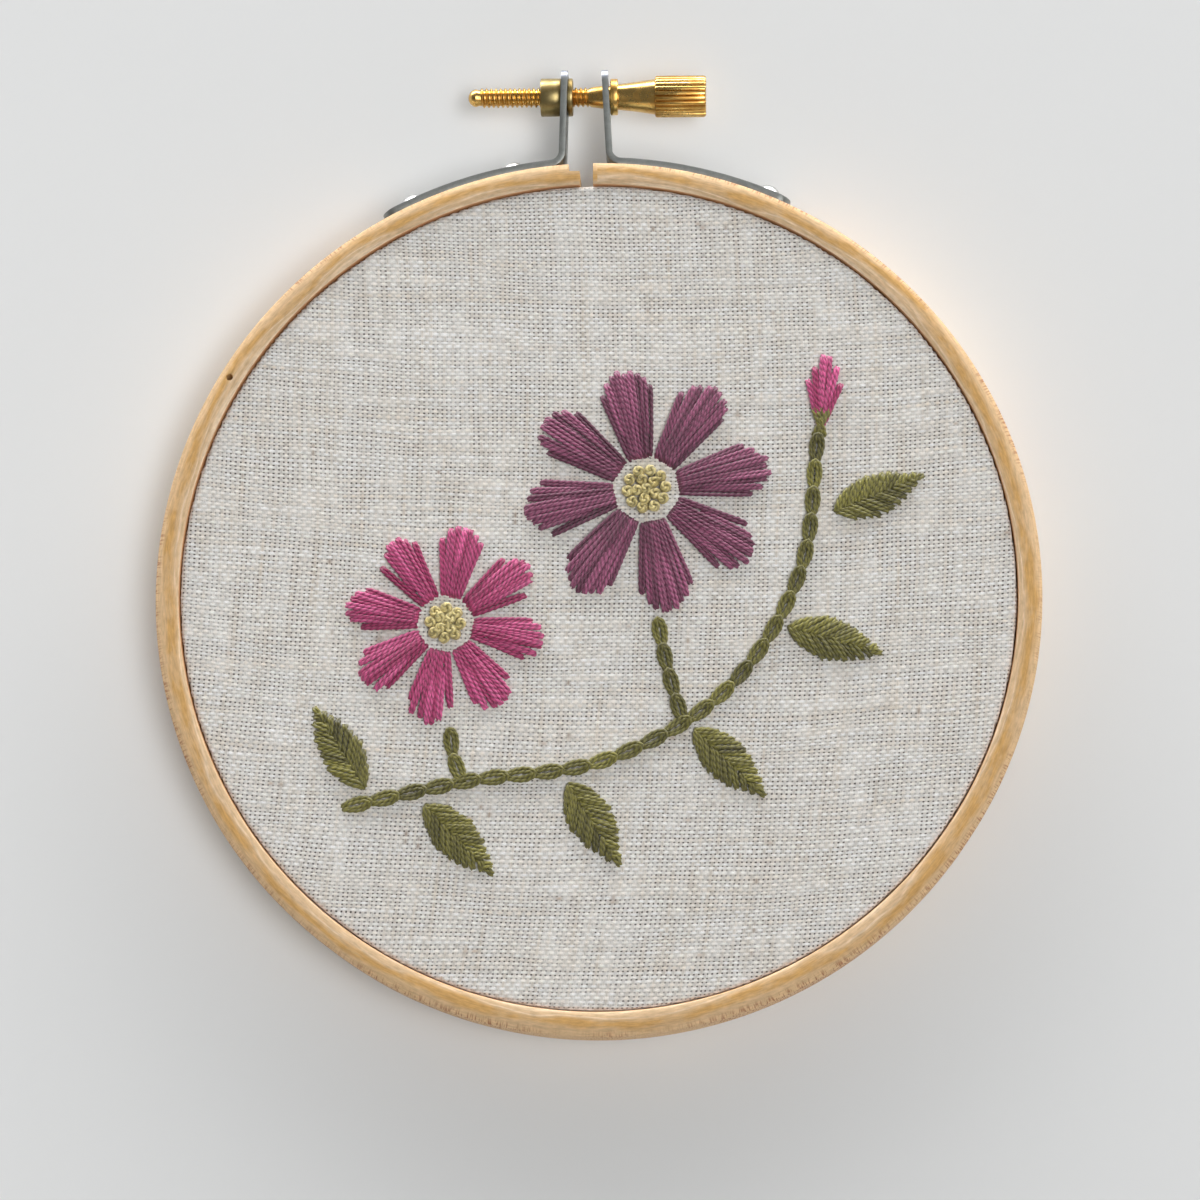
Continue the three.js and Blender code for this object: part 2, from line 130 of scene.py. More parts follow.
class WoodSizes(PropertyGroup):
    """Bent wooden hoops."""

    outer_radius: length_property("Outside radius", "Middle to the outside of the outer hoop", OUTER_HIGH.x)
    wall: length_property("Outer wall", "Thickness of the outer hoop's strip", 3.0 * MM)
    depth: length_property("Depth", "Width of the strip, from back to face", OUTER_HIGH.z)
    edge_round: length_property("Outer edge round", "Rounding of the outside edges", 1.25 * MM)
    broken_edge: length_property("Broken edge", "Width of the sanded edges at the cuts", 0.12 * MM)
    bore_round: length_property("Bore edge round", "Width of the eased edges next to the cloth", 1.05 * MM)
    bore_drop: length_property("Bore edge drop", "How far the eased edges fall to the cloth", 0.32 * MM)
    inner_radius: length_property("Inner hoop radius", "Middle to the inner hoop's outside", INNER_HIGH.x)
    inner_wall: length_property("Inner wall", "Thickness of the inner hoop's strip", 3.0 * MM)
    inner_depth: length_property("Inner depth", "Height of the inner hoop", INNER_HIGH.z)
    split_left: length_property("Split, left end", "Left end of the strip, from the middle", -2.2 * MM)
    split_right: length_property("Split, right end", "Right end of the strip, from the middle", -0.55 * MM)
    step_left: length_property("Step", "Where the left end is cut back, from the middle", -3.6 * MM)
    step_depth: length_property("Step depth", "How deep the left end is cut back", 1.3 * MM)
    pinhole_radius: length_property("Pinhole radius", "Radius of the pinhole in the face", 0.42 * MM)
    # Painted highlight: the pale band along the bore's edge stands for light on its eased rounding; the
    # same colour also draws the wood's real pale growth line
    pale: colour_property("Pale wood", "Sanded edge along the bore", 229, 203, 170)
    beige: colour_property("Beige wood", "Plain face of the strip", 211, 180, 142)
    ochre: colour_property("Ochre wood", "Warm stripe along the face", 203, 160, 100)
    pink: colour_property("Pink wood", "Outer side of the strip", 213, 180, 138)
    fleck: colour_property("Ray flecks", "Short dark flecks on the outer side", 146, 84, 54)
    # Painted shade: the bore wall's darker brown stands for the shadowed gap between the outer hoop and the
    # cloth
    bore_wall_shade: colour_property("Bore wall", "Side of the outer hoop's bore, browned by use", 190, 140, 98)


class LinenSizes(PropertyGroup):
    """Cloth drawn over the inner hoop."""

    warp_pitch: length_property("Warp pitch", "Distance between the yarns that run along Y", 0.571 * MM)
    weft_pitch: length_property("Weft pitch", "Distance between the yarns that run along X", 0.479 * MM)
    crest: length_property("Crest", "Height of a yarn where it passes over", 0.07 * MM)
    pit: length_property("Pit", "Depth of the hole between four yarns", 0.13 * MM)
    warp_bend: length_property("Warp bend", "Radius that the warp is bowed to by the stretching", 455 * MM)
    weft_bend: length_property("Weft bend", "Radius that the weft is bowed to by the stretching", 600 * MM)
    warp_skew: FloatProperty(name="Warp skew", description="Lean of the warp off Y", default=0.05)
    weft_skew: FloatProperty(name="Weft skew", description="Lean of the weft off X", default=-0.01)
    rim_round: length_property("Rim round", "Rounding where the cloth turns down", 0.45 * MM)
    edge: length_property("Edge height", "Height of the cut edge over the back", CLOTH_LOW.z)
    bright: colour_property("Bright yarn", "Yarn where it passes over", 243, 241, 237)
    shaded: colour_property("Shaded yarn", "Yarn on its way under", 220, 214, 206)
    # Painted shade: this colour darkens the holes between the yarns, where only shade is seen
    pit_shade: colour_property("Pit colour", "Depth of the hole between yarns", 60, 45, 35)
    straw: colour_property("Straw yarn", "Natural tint of a darker yarn", 222, 206, 184)
    speck: colour_property("Specks", "Short bits of bark in a yarn", 158, 128, 98)


class FlossSizes(PropertyGroup):
    """Stranded cotton of the stitching."""

    radius: length_property("Strand radius", "Radius of one strand", 0.235 * MM)
    spacing: length_property("Strand spacing", "Distance between the two strands of a stitch", 0.43 * MM)
    station: length_property("Station", "Distance from one ring of a strand to the next", 0.2 * MM)
    twist: length_property("Twist", "Length of one full turn of the two plies", 1.55 * MM)
    plum_light: colour_property("Light plum", "Light petal stitches", 158, 84, 118)
    plum_dark: colour_property("Dark plum", "Dark petal stitches", 84, 34, 56)
    magenta_light: colour_property("Light magenta", "Light petal stitches", 206, 88, 140)
    magenta_dark: colour_property("Dark magenta", "Dark petal stitches", 150, 34, 84)
    straw_light: colour_property("Light straw", "Light knots", 220, 205, 145)
    straw_dark: colour_property("Dark straw", "Dark knots", 186, 166, 98)
    olive_light: colour_property("Light olive", "Light leaf stitches", 140, 134, 58)
    olive_dark: colour_property("Dark olive", "Dark leaf stitches", 78, 73, 26)


class MetalSizes(PropertyGroup):
    """Steel straps and brass screw."""

    strap: length_property("Strap thickness", "Thickness of the steel strap", 0.8 * MM)
    strap_width: length_property("Strap width", "Width of the steel strap", 7.0 * MM)
    bend: length_property("Bend radius", "Middle of the strap to the middle of its bend", 1.6 * MM)
    corner: length_property("Corner radius", "Rounding of the strap's ends", 1.6 * MM)
    broken_edge: length_property("Broken edge", "Width of the strap's filed edges", 0.1 * MM)
    upright_top: length_property("Upright top", "Height of the uprights' ends along Y",
                                 LEFT_HIGH.y + 0.35 * MM)
    # Painted highlight: the uprights' ends get a brighter, bluer steel for light caught on their rounded
    # corners
    tip_highlight_length: length_property("Bright tip", "Length of the cut ends that are left bright", 1.3 * MM)
    rivet_radius: length_property("Rivet head radius", "Radius of a rivet's head", 1.6 * MM)
    rivet_height: length_property("Rivet head height", "Height of a rivet's head", 1.4 * MM)
    shank_radius: length_property("Rivet shank radius", "Radius of a rivet's shank", 0.75 * MM)
    knob_radius: length_property("Knob radius", "Radius of the fluted knob",
                                 (SCREW_HIGH.z - SCREW_LOW.z) / 2)
    crest: length_property("Thread crest", "Outside radius of the thread", 1.25 * MM)
    root: length_property("Thread root", "Inside radius of the thread", 0.98 * MM)
    flutes: IntProperty(name="Flutes", description="Flutes round the knob", default=24, min=6)
    turns: IntProperty(name="Thread turns", description="Turns of the thread", default=23, min=1)
    steel: colour_property("Steel", "Dull strap", 154, 157, 154)
    bright_steel: colour_property("Bright steel", "Rivet heads", 222, 222, 220)
    # Painted highlight colour on the uprights' ends
    tip_highlight_steel: colour_property("Cut steel", "Bright ends of the straps", 157, 161, 171)
    brass: colour_property("Brass", "Turned screw", 232, 194, 118)
    brass_deep: colour_property("Deep brass", "Darker spots of the screw", 200, 152, 78)
    aged: colour_property("Aged brass", "Bush in the left upright", 176, 157, 108)
    aged_deep: colour_property("Deep aged brass", "Darker spots of the bush", 132, 113, 70)


class StageSizes(PropertyGroup):
    """Camera, lights and floor."""

    distance: length_property("Camera distance", "Camera to the point it looks at", 450 * MM)
    lens: FloatProperty(name="Lens", description="Focal length for a 36 mm sensor, in mm", default=109.9)
    aim: FloatVectorProperty(name="Aim", description="Point looked at, from the hoop's middle",
                             default=(0.2 * MM, -0.5 * MM, 5.0 * MM), subtype="TRANSLATION", precision=5)
    lean: FloatVectorProperty(name="Lean", description="Direction from the aim to the camera",
                              default=(0.028, -0.174, 1.0), subtype="DIRECTION")
    floor: colour_property("Floor", "Pale floor under the hoop", 228, 229, 229)
    window_power: FloatProperty(name="Window", description="Low wide light beyond the screw", default=13.0,
                                unit="POWER")
    window_place: FloatVectorProperty(name="Window place", description="From the hoop to the window",
                                      default=(0.0, 1.1, 0.14), subtype="TRANSLATION")
    window_width: length_property("Window width", "Width of the window", 2.6)
    window_height: length_property("Window height", "Height of the window", 0.26)
    overhead: FloatProperty(name="Overhead", description="Soft patch right of the camera", default=8.15)
    beyond: FloatProperty(name="Beyond", description="Glow above the window", default=6.6)
    behind: FloatProperty(name="Behind", description="Wall behind the camera", default=0.5)
    horizon: FloatProperty(name="Horizon", description="Foot of the room's walls", default=0.8)
    dim: FloatProperty(name="Dim light", description="All of the room", default=0.12)


# Handling of objects and selections


def deselect_everything():
    if bpy.context.object and bpy.context.object.mode != "OBJECT":
        bpy.ops.object.mode_set(mode="OBJECT")
    bpy.ops.object.select_all(action="DESELECT")


def choose(piece):
    """Make a piece the only one selected."""
    deselect_everything()
    piece.select_set(True)
    bpy.context.view_layer.objects.active = piece


def named(name):
    """Name the piece that was just added, and go on in edit mode."""
    piece = bpy.context.object
    piece.name = name
    piece.data.name = name
    bpy.ops.object.mode_set(mode="EDIT")
    bpy.ops.mesh.select_mode(type="VERT")
    bpy.ops.mesh.select_all(action="SELECT")
    return piece


def pick(piece, kind, wanted):
    """Select those vertices, edges or faces of a piece in edit mode that pass a test."""
    bpy.ops.mesh.select_mode(type=kind)
    bpy.ops.mesh.select_all(action="DESELECT")
    mesh = bmesh.from_edit_mesh(piece.data)
    for element in {"VERT": mesh.verts, "EDGE": mesh.edges, "FACE": mesh.faces}[kind]:
        if wanted(element):
            element.select_set(True)
    mesh.select_flush_mode()
    bmesh.update_edit_mesh(piece.data)


def select_all():
    bpy.ops.mesh.select_all(action="SELECT")


def edit(piece):
    choose(piece)
    bpy.ops.object.mode_set(mode="EDIT")


def leave_edit():
    bpy.ops.object.mode_set(mode="OBJECT")


def single_vertex(name, location=(0, 0, 0)):
    """Start a piece as one vertex, in edit mode."""
    deselect_everything()
    bpy.ops.mesh.primitive_plane_add(size=1 * MM, location=location)
    piece = named(name)
    bpy.ops.mesh.merge(type="CENTER")
    return piece


def extrude(step):
    bpy.ops.mesh.extrude_region_move(TRANSFORM_OT_translate={"value": step})


def turn(angle, axis, middle):
    """Rotate what is selected, anticlockwise as seen from the axis's end."""
    bpy.ops.transform.rotate(value=-angle, orient_axis=axis, center_override=tuple(middle))


def sweep(angle, axis, middle, steps):
    """Spin what is selected, anticlockwise as seen from the axis's end."""
    bpy.ops.mesh.spin(steps=steps, angle=-angle, center=tuple(middle), axis=axis)


def close_up(piece):
    """Merge doubles, turn all faces outwards, and leave edit mode."""
    select_all()
    bpy.ops.mesh.remove_doubles(threshold=0.002 * MM)
    bpy.ops.mesh.normals_make_consistent(inside=False)
    leave_edit()
    return piece


def finish_with(piece, kind, **settings):
    """Add a modifier and apply it."""
    modifier = piece.modifiers.new(kind.title(), kind)
    for key, value in settings.items():
        setattr(modifier, key, value)
    choose(piece)
    bpy.ops.object.modifier_apply(modifier=modifier.name)


def cut_away(piece, cutter):
    finish_with(piece, "BOOLEAN", operation="DIFFERENCE", solver="EXACT", object=cutter)
    bpy.data.objects.remove(cutter, do_unlink=True)


def cutting_block(low, high):
    deselect_everything()
    low, high = Vector(low), Vector(high)
    bpy.ops.mesh.primitive_cube_add(size=1, location=(low + high) / 2, scale=high - low)
    return bpy.context.object


def cutting_drill(radius, middle, length, rotation):
    deselect_everything()
    bpy.ops.mesh.primitive_cylinder_add(vertices=40, radius=radius, depth=length, location=middle,
                                        rotation=rotation)
    return bpy.context.object


def soften(piece, width, degrees=40):
    """Break the sharp edges and shade the rest smooth."""
    finish_with(piece, "BEVEL", width=width, segments=2, limit_method="ANGLE",
                angle_limit=math.radians(degrees), use_clamp_overlap=True)
    smooth(piece, degrees)


def smooth(piece, degrees):
    choose(piece)
    bpy.ops.object.shade_smooth_by_angle(angle=math.radians(degrees))


def hand_over(piece, body, slot, material, *nodes):
    """Give a finished piece its material and body, and hide the solids that it stands for. The slot is not
    used.
    """
    piece.data.materials.clear()
    piece.data.materials.append(material)
    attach(piece, body)
    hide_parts(*nodes)
    return piece


# Building of materials


def new_material(name):
    material = bpy.data.materials.new(name)
    material.use_nodes = True
    tree = material.node_tree
    return material, tree, tree.nodes["Principled BSDF"]


def feed(tree, node, inputs):
    """Link a node's inputs to sockets, or set them."""
    for key, value in inputs.items():
        if isinstance(value, bpy.types.NodeSocket):
            tree.links.new(value, node.inputs[key])
        else:
            node.inputs[key].default_value = value


def put(tree, kind, inputs=None, **settings):
    """Add a node, set it up and feed it."""
    node = tree.nodes.new(kind)
    for key, value in settings.items():
        setattr(node, key, value)
    feed(tree, node, inputs or {})
    return node


def sum_up(tree, operation, *values):
    """Output of a Math node over sockets and numbers."""
    return put(tree, "ShaderNodeMath", dict(enumerate(values)), operation=operation).outputs[0]


def scaled(tree, vector, *factors):
    """Vector with each part multiplied."""
    return put(tree, "ShaderNodeVectorMath", {0: vector, 1: factors}, operation="MULTIPLY").outputs[0]


def noise(tree, vector, detail=2.0, roughness=0.5):
    """Noise read at a vector whose scale is already right."""
    inputs = {"Vector": vector, "Scale": 1.0, "Detail": detail, "Roughness": roughness}
    return put(tree, "ShaderNodeTexNoise", inputs).outputs["Fac"]


def ramp(tree, factor, stops):
    """Colour ramp with stops given as (position, colour)."""
    node = put(tree, "ShaderNodeValToRGB", {"Fac": factor})
    elements = node.color_ramp.elements
    while len(elements) < len(stops):
        elements.new(0.5)
    for element, (position, colour) in zip(elements, stops):
        element.position = position
        element.color = (*colour[:3], 1)
    return node.outputs["Color"]


def band(tree, value, low, high, low_result=0.0, high_result=1.0):
    """Value carried smoothly from one range to another."""
    inputs = {"Value": value, "From Min": low, "From Max": high}
    inputs.update({"To Min": low_result, "To Max": high_result})
    return put(tree, "ShaderNodeMapRange", inputs, interpolation_type="SMOOTHSTEP").outputs["Result"]


def blended(tree, factor, first, second, blend="MIX"):
    """Mix of two colours, each a socket or a colour."""
    inputs = {0: factor}
    for key, colour in ((6, first), (7, second)):
        inputs[key] = colour if isinstance(colour, bpy.types.NodeSocket) else (*colour[:3], 1)
    return put(tree, "ShaderNodeMix", inputs, data_type="RGBA", blend_type=blend).outputs[2]


def toned(tree, colour, factor, *stops):
    """Colour made darker or lighter by a factor, with stops given as (position, tone)."""
    tones = ramp(tree, factor, [(position, (tone, tone, tone)) for position, tone in stops])
    return blended(tree, 1.0, colour, tones, "MULTIPLY")


def raise_bump(tree, shader, height, strength, distance):
    inputs = {"Height": height, "Strength": strength, "Distance": distance}
    feed(tree, shader, {"Normal": put(tree, "ShaderNodeBump", inputs).outputs["Normal"]})


def object_place(tree, middle):
    """Object coordinates measured from a middle point."""
    place = put(tree, "ShaderNodeTexCoord").outputs["Object"]
    shift = tuple(-part for part in middle)
    return put(tree, "ShaderNodeMapping", {"Vector": place, "Location": shift}).outputs["Vector"]


# Noise scales of the wood, along the bend, across the strip and up
WOOD_GRAIN = {
    "drift": (70, 300, 200),
    "patches": (210, 500, 400),
    "pores": (700, 4600, 4200),
    "clouds": (1100, 1500, 1500),
    "flecks": (5200, 700, 560),
    "stretches": (60, 60, 60),
}


def bent_wood_finish(name, wood, bore, wall, bore_colour):
    """Sanded beech whose grain follows the bend, with its seam turned into the split."""
    material, tree, shader = new_material(name)
    parts = put(tree, "ShaderNodeSeparateXYZ", {0: object_place(tree, HOOP_MIDDLE)}).outputs
    away = sum_up(tree, "MULTIPLY", parts["Y"], -1.0)
    angle = sum_up(tree, "ARCTAN2", parts["X"], away)
    along = sum_up(tree, "MULTIPLY", angle, bore + wall / 2)
    squares = [sum_up(tree, "POWER", parts[key], 2.0) for key in ("X", "Y")]
    radius = sum_up(tree, "SQRT", sum_up(tree, "ADD", *squares))
    place = put(tree, "ShaderNodeCombineXYZ", {"X": along, "Y": radius, "Z": parts["Z"]}).outputs[0]
    grain = {key: scaled(tree, place, *scales) for key, scales in WOOD_GRAIN.items()}

    # Layers of the strip, drifting slowly along its length
    drift = noise(tree, grain["drift"], detail=2.5, roughness=0.55)
    depth = sum_up(tree, "DIVIDE", sum_up(tree, "SUBTRACT", radius, bore), wall)
    layer = sum_up(tree, "ADD", depth, band(tree, drift, 0.25, 0.75, -0.22, 0.22))
    # Pale at the bore's edge is a painted highlight on the eased rounding; the other layers are the wood's
    # own colours
    colour = ramp(tree, layer, [
        (0.0, wood.pale), (0.1, wood.beige), (0.26, wood.beige), (0.42, wood.ochre), (0.58, wood.ochre),
        (0.74, wood.pink), (1.0, wood.pink),
    ])
    # The warm stripe pales in patches, and one pale growth line runs inside it
    patches = noise(tree, grain["patches"], detail=3, roughness=0.6)
    colour = blended(tree, band(tree, patches, 0.45, 0.62, 0.0, 0.5), colour, wood.beige)
    from_line = sum_up(tree, "ABSOLUTE", sum_up(tree, "SUBTRACT", layer, 0.24))
    broken = band(tree, patches, 0.38, 0.6, 0.1, 0.8)
    line = sum_up(tree, "MULTIPLY", band(tree, from_line, 0.012, 0.05, 1.0, 0.0), broken)
    colour = blended(tree, line, colour, wood.pale)
    # Fine pores along the grain, and a cloudy sheen across it
    pores = noise(tree, grain["pores"], detail=4, roughness=0.6)
    colour = toned(tree, colour, pores, (0.3, 0.82), (0.62, 1.08))
    clouds = noise(tree, grain["clouds"], detail=3, roughness=0.6)
    colour = toned(tree, colour, clouds, (0.32, 0.93), (0.68, 1.06))
    # Ray flecks stand across the outer side, in some stretches more than in others
    flecks = band(tree, noise(tree, grain["flecks"], detail=1.5), 0.48, 0.64, 0.0, 0.8)
    stretches = band(tree, noise(tree, grain["stretches"]), 0.42, 0.6, 0.2, 1.0)
    outer = sum_up(tree, "MULTIPLY", band(tree, depth, 0.68, 0.98), stretches)
    colour = blended(tree, sum_up(tree, "MULTIPLY", flecks, outer), colour, wood.fleck)
    # The side of the bore: on the outer hoop a darker brown, painted shade for the gap next to the cloth
    colour = blended(tree, band(tree, depth, 0.004, 0.03, 1.0, 0.0), colour, bore_colour)
    roughness = band(tree, pores, 0.3, 0.7, 0.76, 0.62)
    feed(tree, shader, {"Base Color": colour, "Roughness": roughness, "Specular IOR Level": 0.18})
    raise_bump(tree, shader, pores, 0.12, 0.1 * MM)
    return material


def linen_finish(linen):
    """Plain weave: yarn colours come with the sheet, roundness, twist and pits from its UV."""
    material, tree, shader = new_material("natural_linen")
    weave = put(tree, "ShaderNodeUVMap", uv_map="Weave").outputs["UV"]
    parts = put(tree, "ShaderNodeSeparateXYZ", {0: weave}).outputs
    across_warp = sum_up(tree, "WRAP", parts["X"], 0.5, -0.5)
    across_weft = sum_up(tree, "WRAP", parts["Y"], 0.5, -0.5)
    warp = sum_up(tree, "SUBTRACT", parts["X"], across_warp)
    weft = sum_up(tree, "SUBTRACT", parts["Y"], across_weft)
    over = sum_up(tree, "FLOORED_MODULO", sum_up(tree, "ROUND", sum_up(tree, "ADD", warp, weft)), 2.0)
    side = put(tree, "ShaderNodeMix", {0: over, 2: across_warp, 3: across_weft}).outputs[0]
    run = put(tree, "ShaderNodeMix", {0: over, 2: parts["Y"], 3: parts["X"]}).outputs[0]
    from_crown = sum_up(tree, "POWER", sum_up(tree, "MULTIPLY", side, 2.0), 2.0)
    swell = sum_up(tree, "SUBTRACT", 1.0, from_crown)
    twist = put(tree, "ShaderNodeCombineXYZ", {
        "X": sum_up(tree, "MULTIPLY_ADD", side, 9.0, sum_up(tree, "MULTIPLY", run, 3.0)),
        "Y": sum_up(tree, "ADD", warp, sum_up(tree, "MULTIPLY", weft, 1.7)),
        "Z": side,
    }).outputs[0]
    fibres = noise(tree, twist, detail=2, roughness=0.6)
    sheet = put(tree, "ShaderNodeAttribute", attribute_name="yarn_colour").outputs
    colour = toned(tree, sheet["Color"], fibres, (0.3, 0.8), (0.7, 1.12))
    # Pits between the yarns, darkened by painted shade as far as the sheet says they are open
    from_warp = band(tree, sum_up(tree, "ABSOLUTE", across_warp), 0.19, 0.38)
    from_weft = band(tree, sum_up(tree, "ABSOLUTE", across_weft), 0.22, 0.42)
    pit = sum_up(tree, "MULTIPLY", sum_up(tree, "MULTIPLY", from_warp, from_weft), sheet["Alpha"])
    colour = blended(tree, pit, colour, linen.pit_shade)
    surface = {"Roughness": 0.9, "Specular IOR Level": 0.2, "Sheen Weight": 0.15}
    feed(tree, shader, {"Base Color": colour, **surface})
    height = sum_up(tree, "MULTIPLY_ADD", fibres, 0.5, swell)
    raise_bump(tree, shader, height, 0.35, 0.1 * MM)
    return material


def floss_finish(name):
    """Stranded cotton with a soft sheen: two plies with painted shade in the groove between and a painted
    highlight on their crowns, fibres along the thread.
    """
    material, tree, shader = new_material(name)
    strand = put(tree, "ShaderNodeUVMap", uv_map="Strand").outputs["UV"]
    parts = put(tree, "ShaderNodeSeparateXYZ", {0: strand}).outputs
    plies = sum_up(tree, "COSINE", sum_up(tree, "MULTIPLY", parts["Y"], 4 * math.pi))
    place = put(tree, "ShaderNodeCombineXYZ", {
        "X": sum_up(tree, "MULTIPLY", parts["X"], 0.9),
        "Y": sum_up(tree, "MULTIPLY", parts["Y"], 13.0),
    }).outputs[0]
    fibres = noise(tree, place, detail=2, roughness=0.6)
    dye = put(tree, "ShaderNodeAttribute", attribute_name="dye").outputs["Color"]
    colour = toned(tree, dye, fibres, (0.3, 0.8), (0.7, 1.16))
    # Painted shade in the groove between the plies, and a painted highlight on their crowns
    colour = toned(tree, colour, band(tree, plies, -1.0, 0.6), (0.0, 0.56), (1.0, 1.1))
    surface = {"Roughness": 0.46, "Specular IOR Level": 0.5, "Sheen Weight": 0.2}
    feed(tree, shader, {"Base Color": colour, **surface})
    height = sum_up(tree, "MULTIPLY_ADD", fibres, 0.35, band(tree, plies, -1.0, 0.8))
    raise_bump(tree, shader, height, 0.5, 0.06 * MM)
    return material


def metal_finish(name, light, deep, rough, grain, tip=None):
    """Metal with faint tool marks, stretched by the grain. A tip is a place along Y and the colour of a
    painted highlight beyond it.
    """
    material, tree, shader = new_material(name)
    place = object_place(tree, SCREW_MIDDLE)
    spots = noise(tree, scaled(tree, place, 420, 420, 420), detail=4, roughness=0.6)
    marks = noise(tree, scaled(tree, place, *grain), detail=2, roughness=0.5)
    colour = ramp(tree, spots, [(0.36, deep), (0.6, light)])
    # Past the tip's place the colour turns to a painted highlight for light on the rounded end
    if tip:
        height = put(tree, "ShaderNodeSeparateXYZ", {0: place}).outputs["Y"]
        start = tip[0] - SCREW_MIDDLE.y
        low, high = start - 0.5 * MM, start + 0.4 * MM
        colour = blended(tree, band(tree, height, low, high), colour, tip[1])
    roughness = band(tree, spots, 0.3, 0.7, rough + 0.12, rough - 0.06)
    feed(tree, shader, {"Base Color": colour, "Metallic": 1.0, "Roughness": roughness})
    raise_bump(tree, shader, marks, 0.12, 0.04 * MM)
    return material


# Wooden hoops


def bent_strip(name, bore, outside, depth, bore_round, bore_drop, edge_round):
    """Ring of rounded section: a plane set up as the section, its corners rounded, spun round the middle.

    The bore's corners are rounded while the section is stretched, so that they end up wide and low.
    """
    stretch = bore_round / bore_drop
    middle = HOOP_MIDDLE + Vector(((bore + outside) / 2, 0, depth / 2))
    deselect_everything()
    bpy.ops.mesh.primitive_plane_add(size=1)
    strip = named(name)
    turn(math.pi / 2, "X", (0, 0, 0))
    bpy.ops.transform.resize(value=(outside - bore, 1, depth * stretch))
    bpy.ops.transform.translate(value=middle)
    pick(strip, "VERT", lambda corner: corner.co.x < middle.x)
    bpy.ops.mesh.bevel(offset=bore_round, offset_type="OFFSET", segments=8, affect="VERTICES")
    select_all()
    bpy.ops.transform.resize(value=(1, 1, 1 / stretch), center_override=tuple(middle))
    pick(strip, "VERT", lambda corner: corner.co.x > outside - 0.01 * MM)
    bpy.ops.mesh.bevel(offset=edge_round, offset_type="OFFSET", segments=7, affect="VERTICES")
    select_all()
    bpy.ops.mesh.delete(type="ONLY_FACE")
    select_all()
    sweep(2 * math.pi, (0, 0, 1), HOOP_MIDDLE, 360)
    return close_up(strip)


def round_the_hoop(radius, degrees_from_top, z):
    """Point at a radius, with the angle counted to the left of the screw."""
    angle = math.radians(90 + degrees_from_top)
    return HOOP_MIDDLE + Vector((radius * math.cos(angle), radius * math.sin(angle), z))


# Angles are degrees to the left of the screw
PINHOLE_REACH, PINHOLE_ANGLE, PINHOLE_DEPTH = 52.7 * MM, 59.4, 2.2 * MM
RIVET_ANGLES = {
    "rivet_left_near": 11.2,
    "rivet_left_far": 25.0,
    "rivet_right_near": -8.2,
    "rivet_right_far": -22.7,
}
# Heads that were hammered flatter than the rest: share of the full height
FLAT_RIVETS = {"rivet_right_near": 0.45}


def drill_for_rivets(piece, angles, shank_radius, middle_radius, length, z):
    clearance = 0.02 * MM
    for angle in angles:
        spot = round_the_hoop(middle_radius, angle, z)
        aslant = (math.pi / 2, 0, math.radians(angle))
        cut_away(piece, cutting_drill(shank_radius + clearance, spot, length, aslant))


class HOOP_OT_outer_hoop(Operator):
    """Bend the outer hoop, split it at the top and drill it"""

    bl_idname = "hoop.outer_hoop"
    bl_label = "Outer Hoop"

    def execute(self, context):
        wood = context.scene.hoop_wood
        metal = context.scene.hoop_metal
        outside = wood.outer_radius
        bore = outside - wood.wall
        hoop = bent_strip("bent_outer_hoop", bore, outside, wood.depth, wood.bore_round, wood.bore_drop,
                          wood.edge_round)
        past = 1 * MM
        top = HOOP_MIDDLE.y + outside
        low, high = -past, wood.depth + past
        far_corner = (wood.split_right, top + past, high)
        cut_away(hoop, cutting_block((wood.split_left, top - wood.wall - past, low), far_corner))
        cut_away(hoop, cutting_block((wood.step_left, top - wood.step_depth, low), far_corner))
        pinhole = round_the_hoop(PINHOLE_REACH, PINHOLE_ANGLE, wood.depth)
        cut_away(hoop, cutting_drill(wood.pinhole_radius, pinhole, 2 * PINHOLE_DEPTH, (0, 0, 0)))
        drill_for_rivets(hoop, RIVET_ANGLES.values(), metal.shank_radius, bore + wood.wall / 2,
                         wood.wall + past, wood.depth / 2)
        soften(hoop, wood.broken_edge, 50)
        material = bent_wood_finish("bent_beech", wood, bore, wood.wall, wood.bore_wall_shade)
        hand_over(hoop, "hoop", "wood", material, "outer_hoop")
        return {"FINISHED"}


class HOOP_OT_inner_hoop(Operator):
    """Bend the plain inner hoop under the cloth"""

    bl_idname = "hoop.inner_hoop"
    bl_label = "Inner Hoop"

    def execute(self, context):
        wood = context.scene.hoop_wood
        bore = wood.inner_radius - wood.inner_wall
        hoop = bent_strip("bent_inner_hoop", bore, wood.inner_radius, wood.inner_depth, wood.bore_drop,
                          wood.bore_drop, wood.bore_drop)
        smooth(hoop, 40)
        material = bent_wood_finish("bent_beech_inner", wood, bore, wood.inner_wall, wood.beige)
        hand_over(hoop, "hoop", "wood", material, "inner_hoop")
        return {"FINISHED"}


# Straps, rivets, bush and screw


# Side of the screw, distance of the upright from the middle (mm), its lean (degrees), the reach of the foot
# round the hoop (degrees) and the radius of the hole (mm)
STRAPS = {
    "lug_left": {"side": -1, "at_screw": 4.25, "lean": 1.5, "foot": 29.2, "hole": 1.92},
    "lug_right": {"side": 1, "at_screw": 0.98, "lean": 3.0, "foot": 25.9, "hole": 1.5},
}


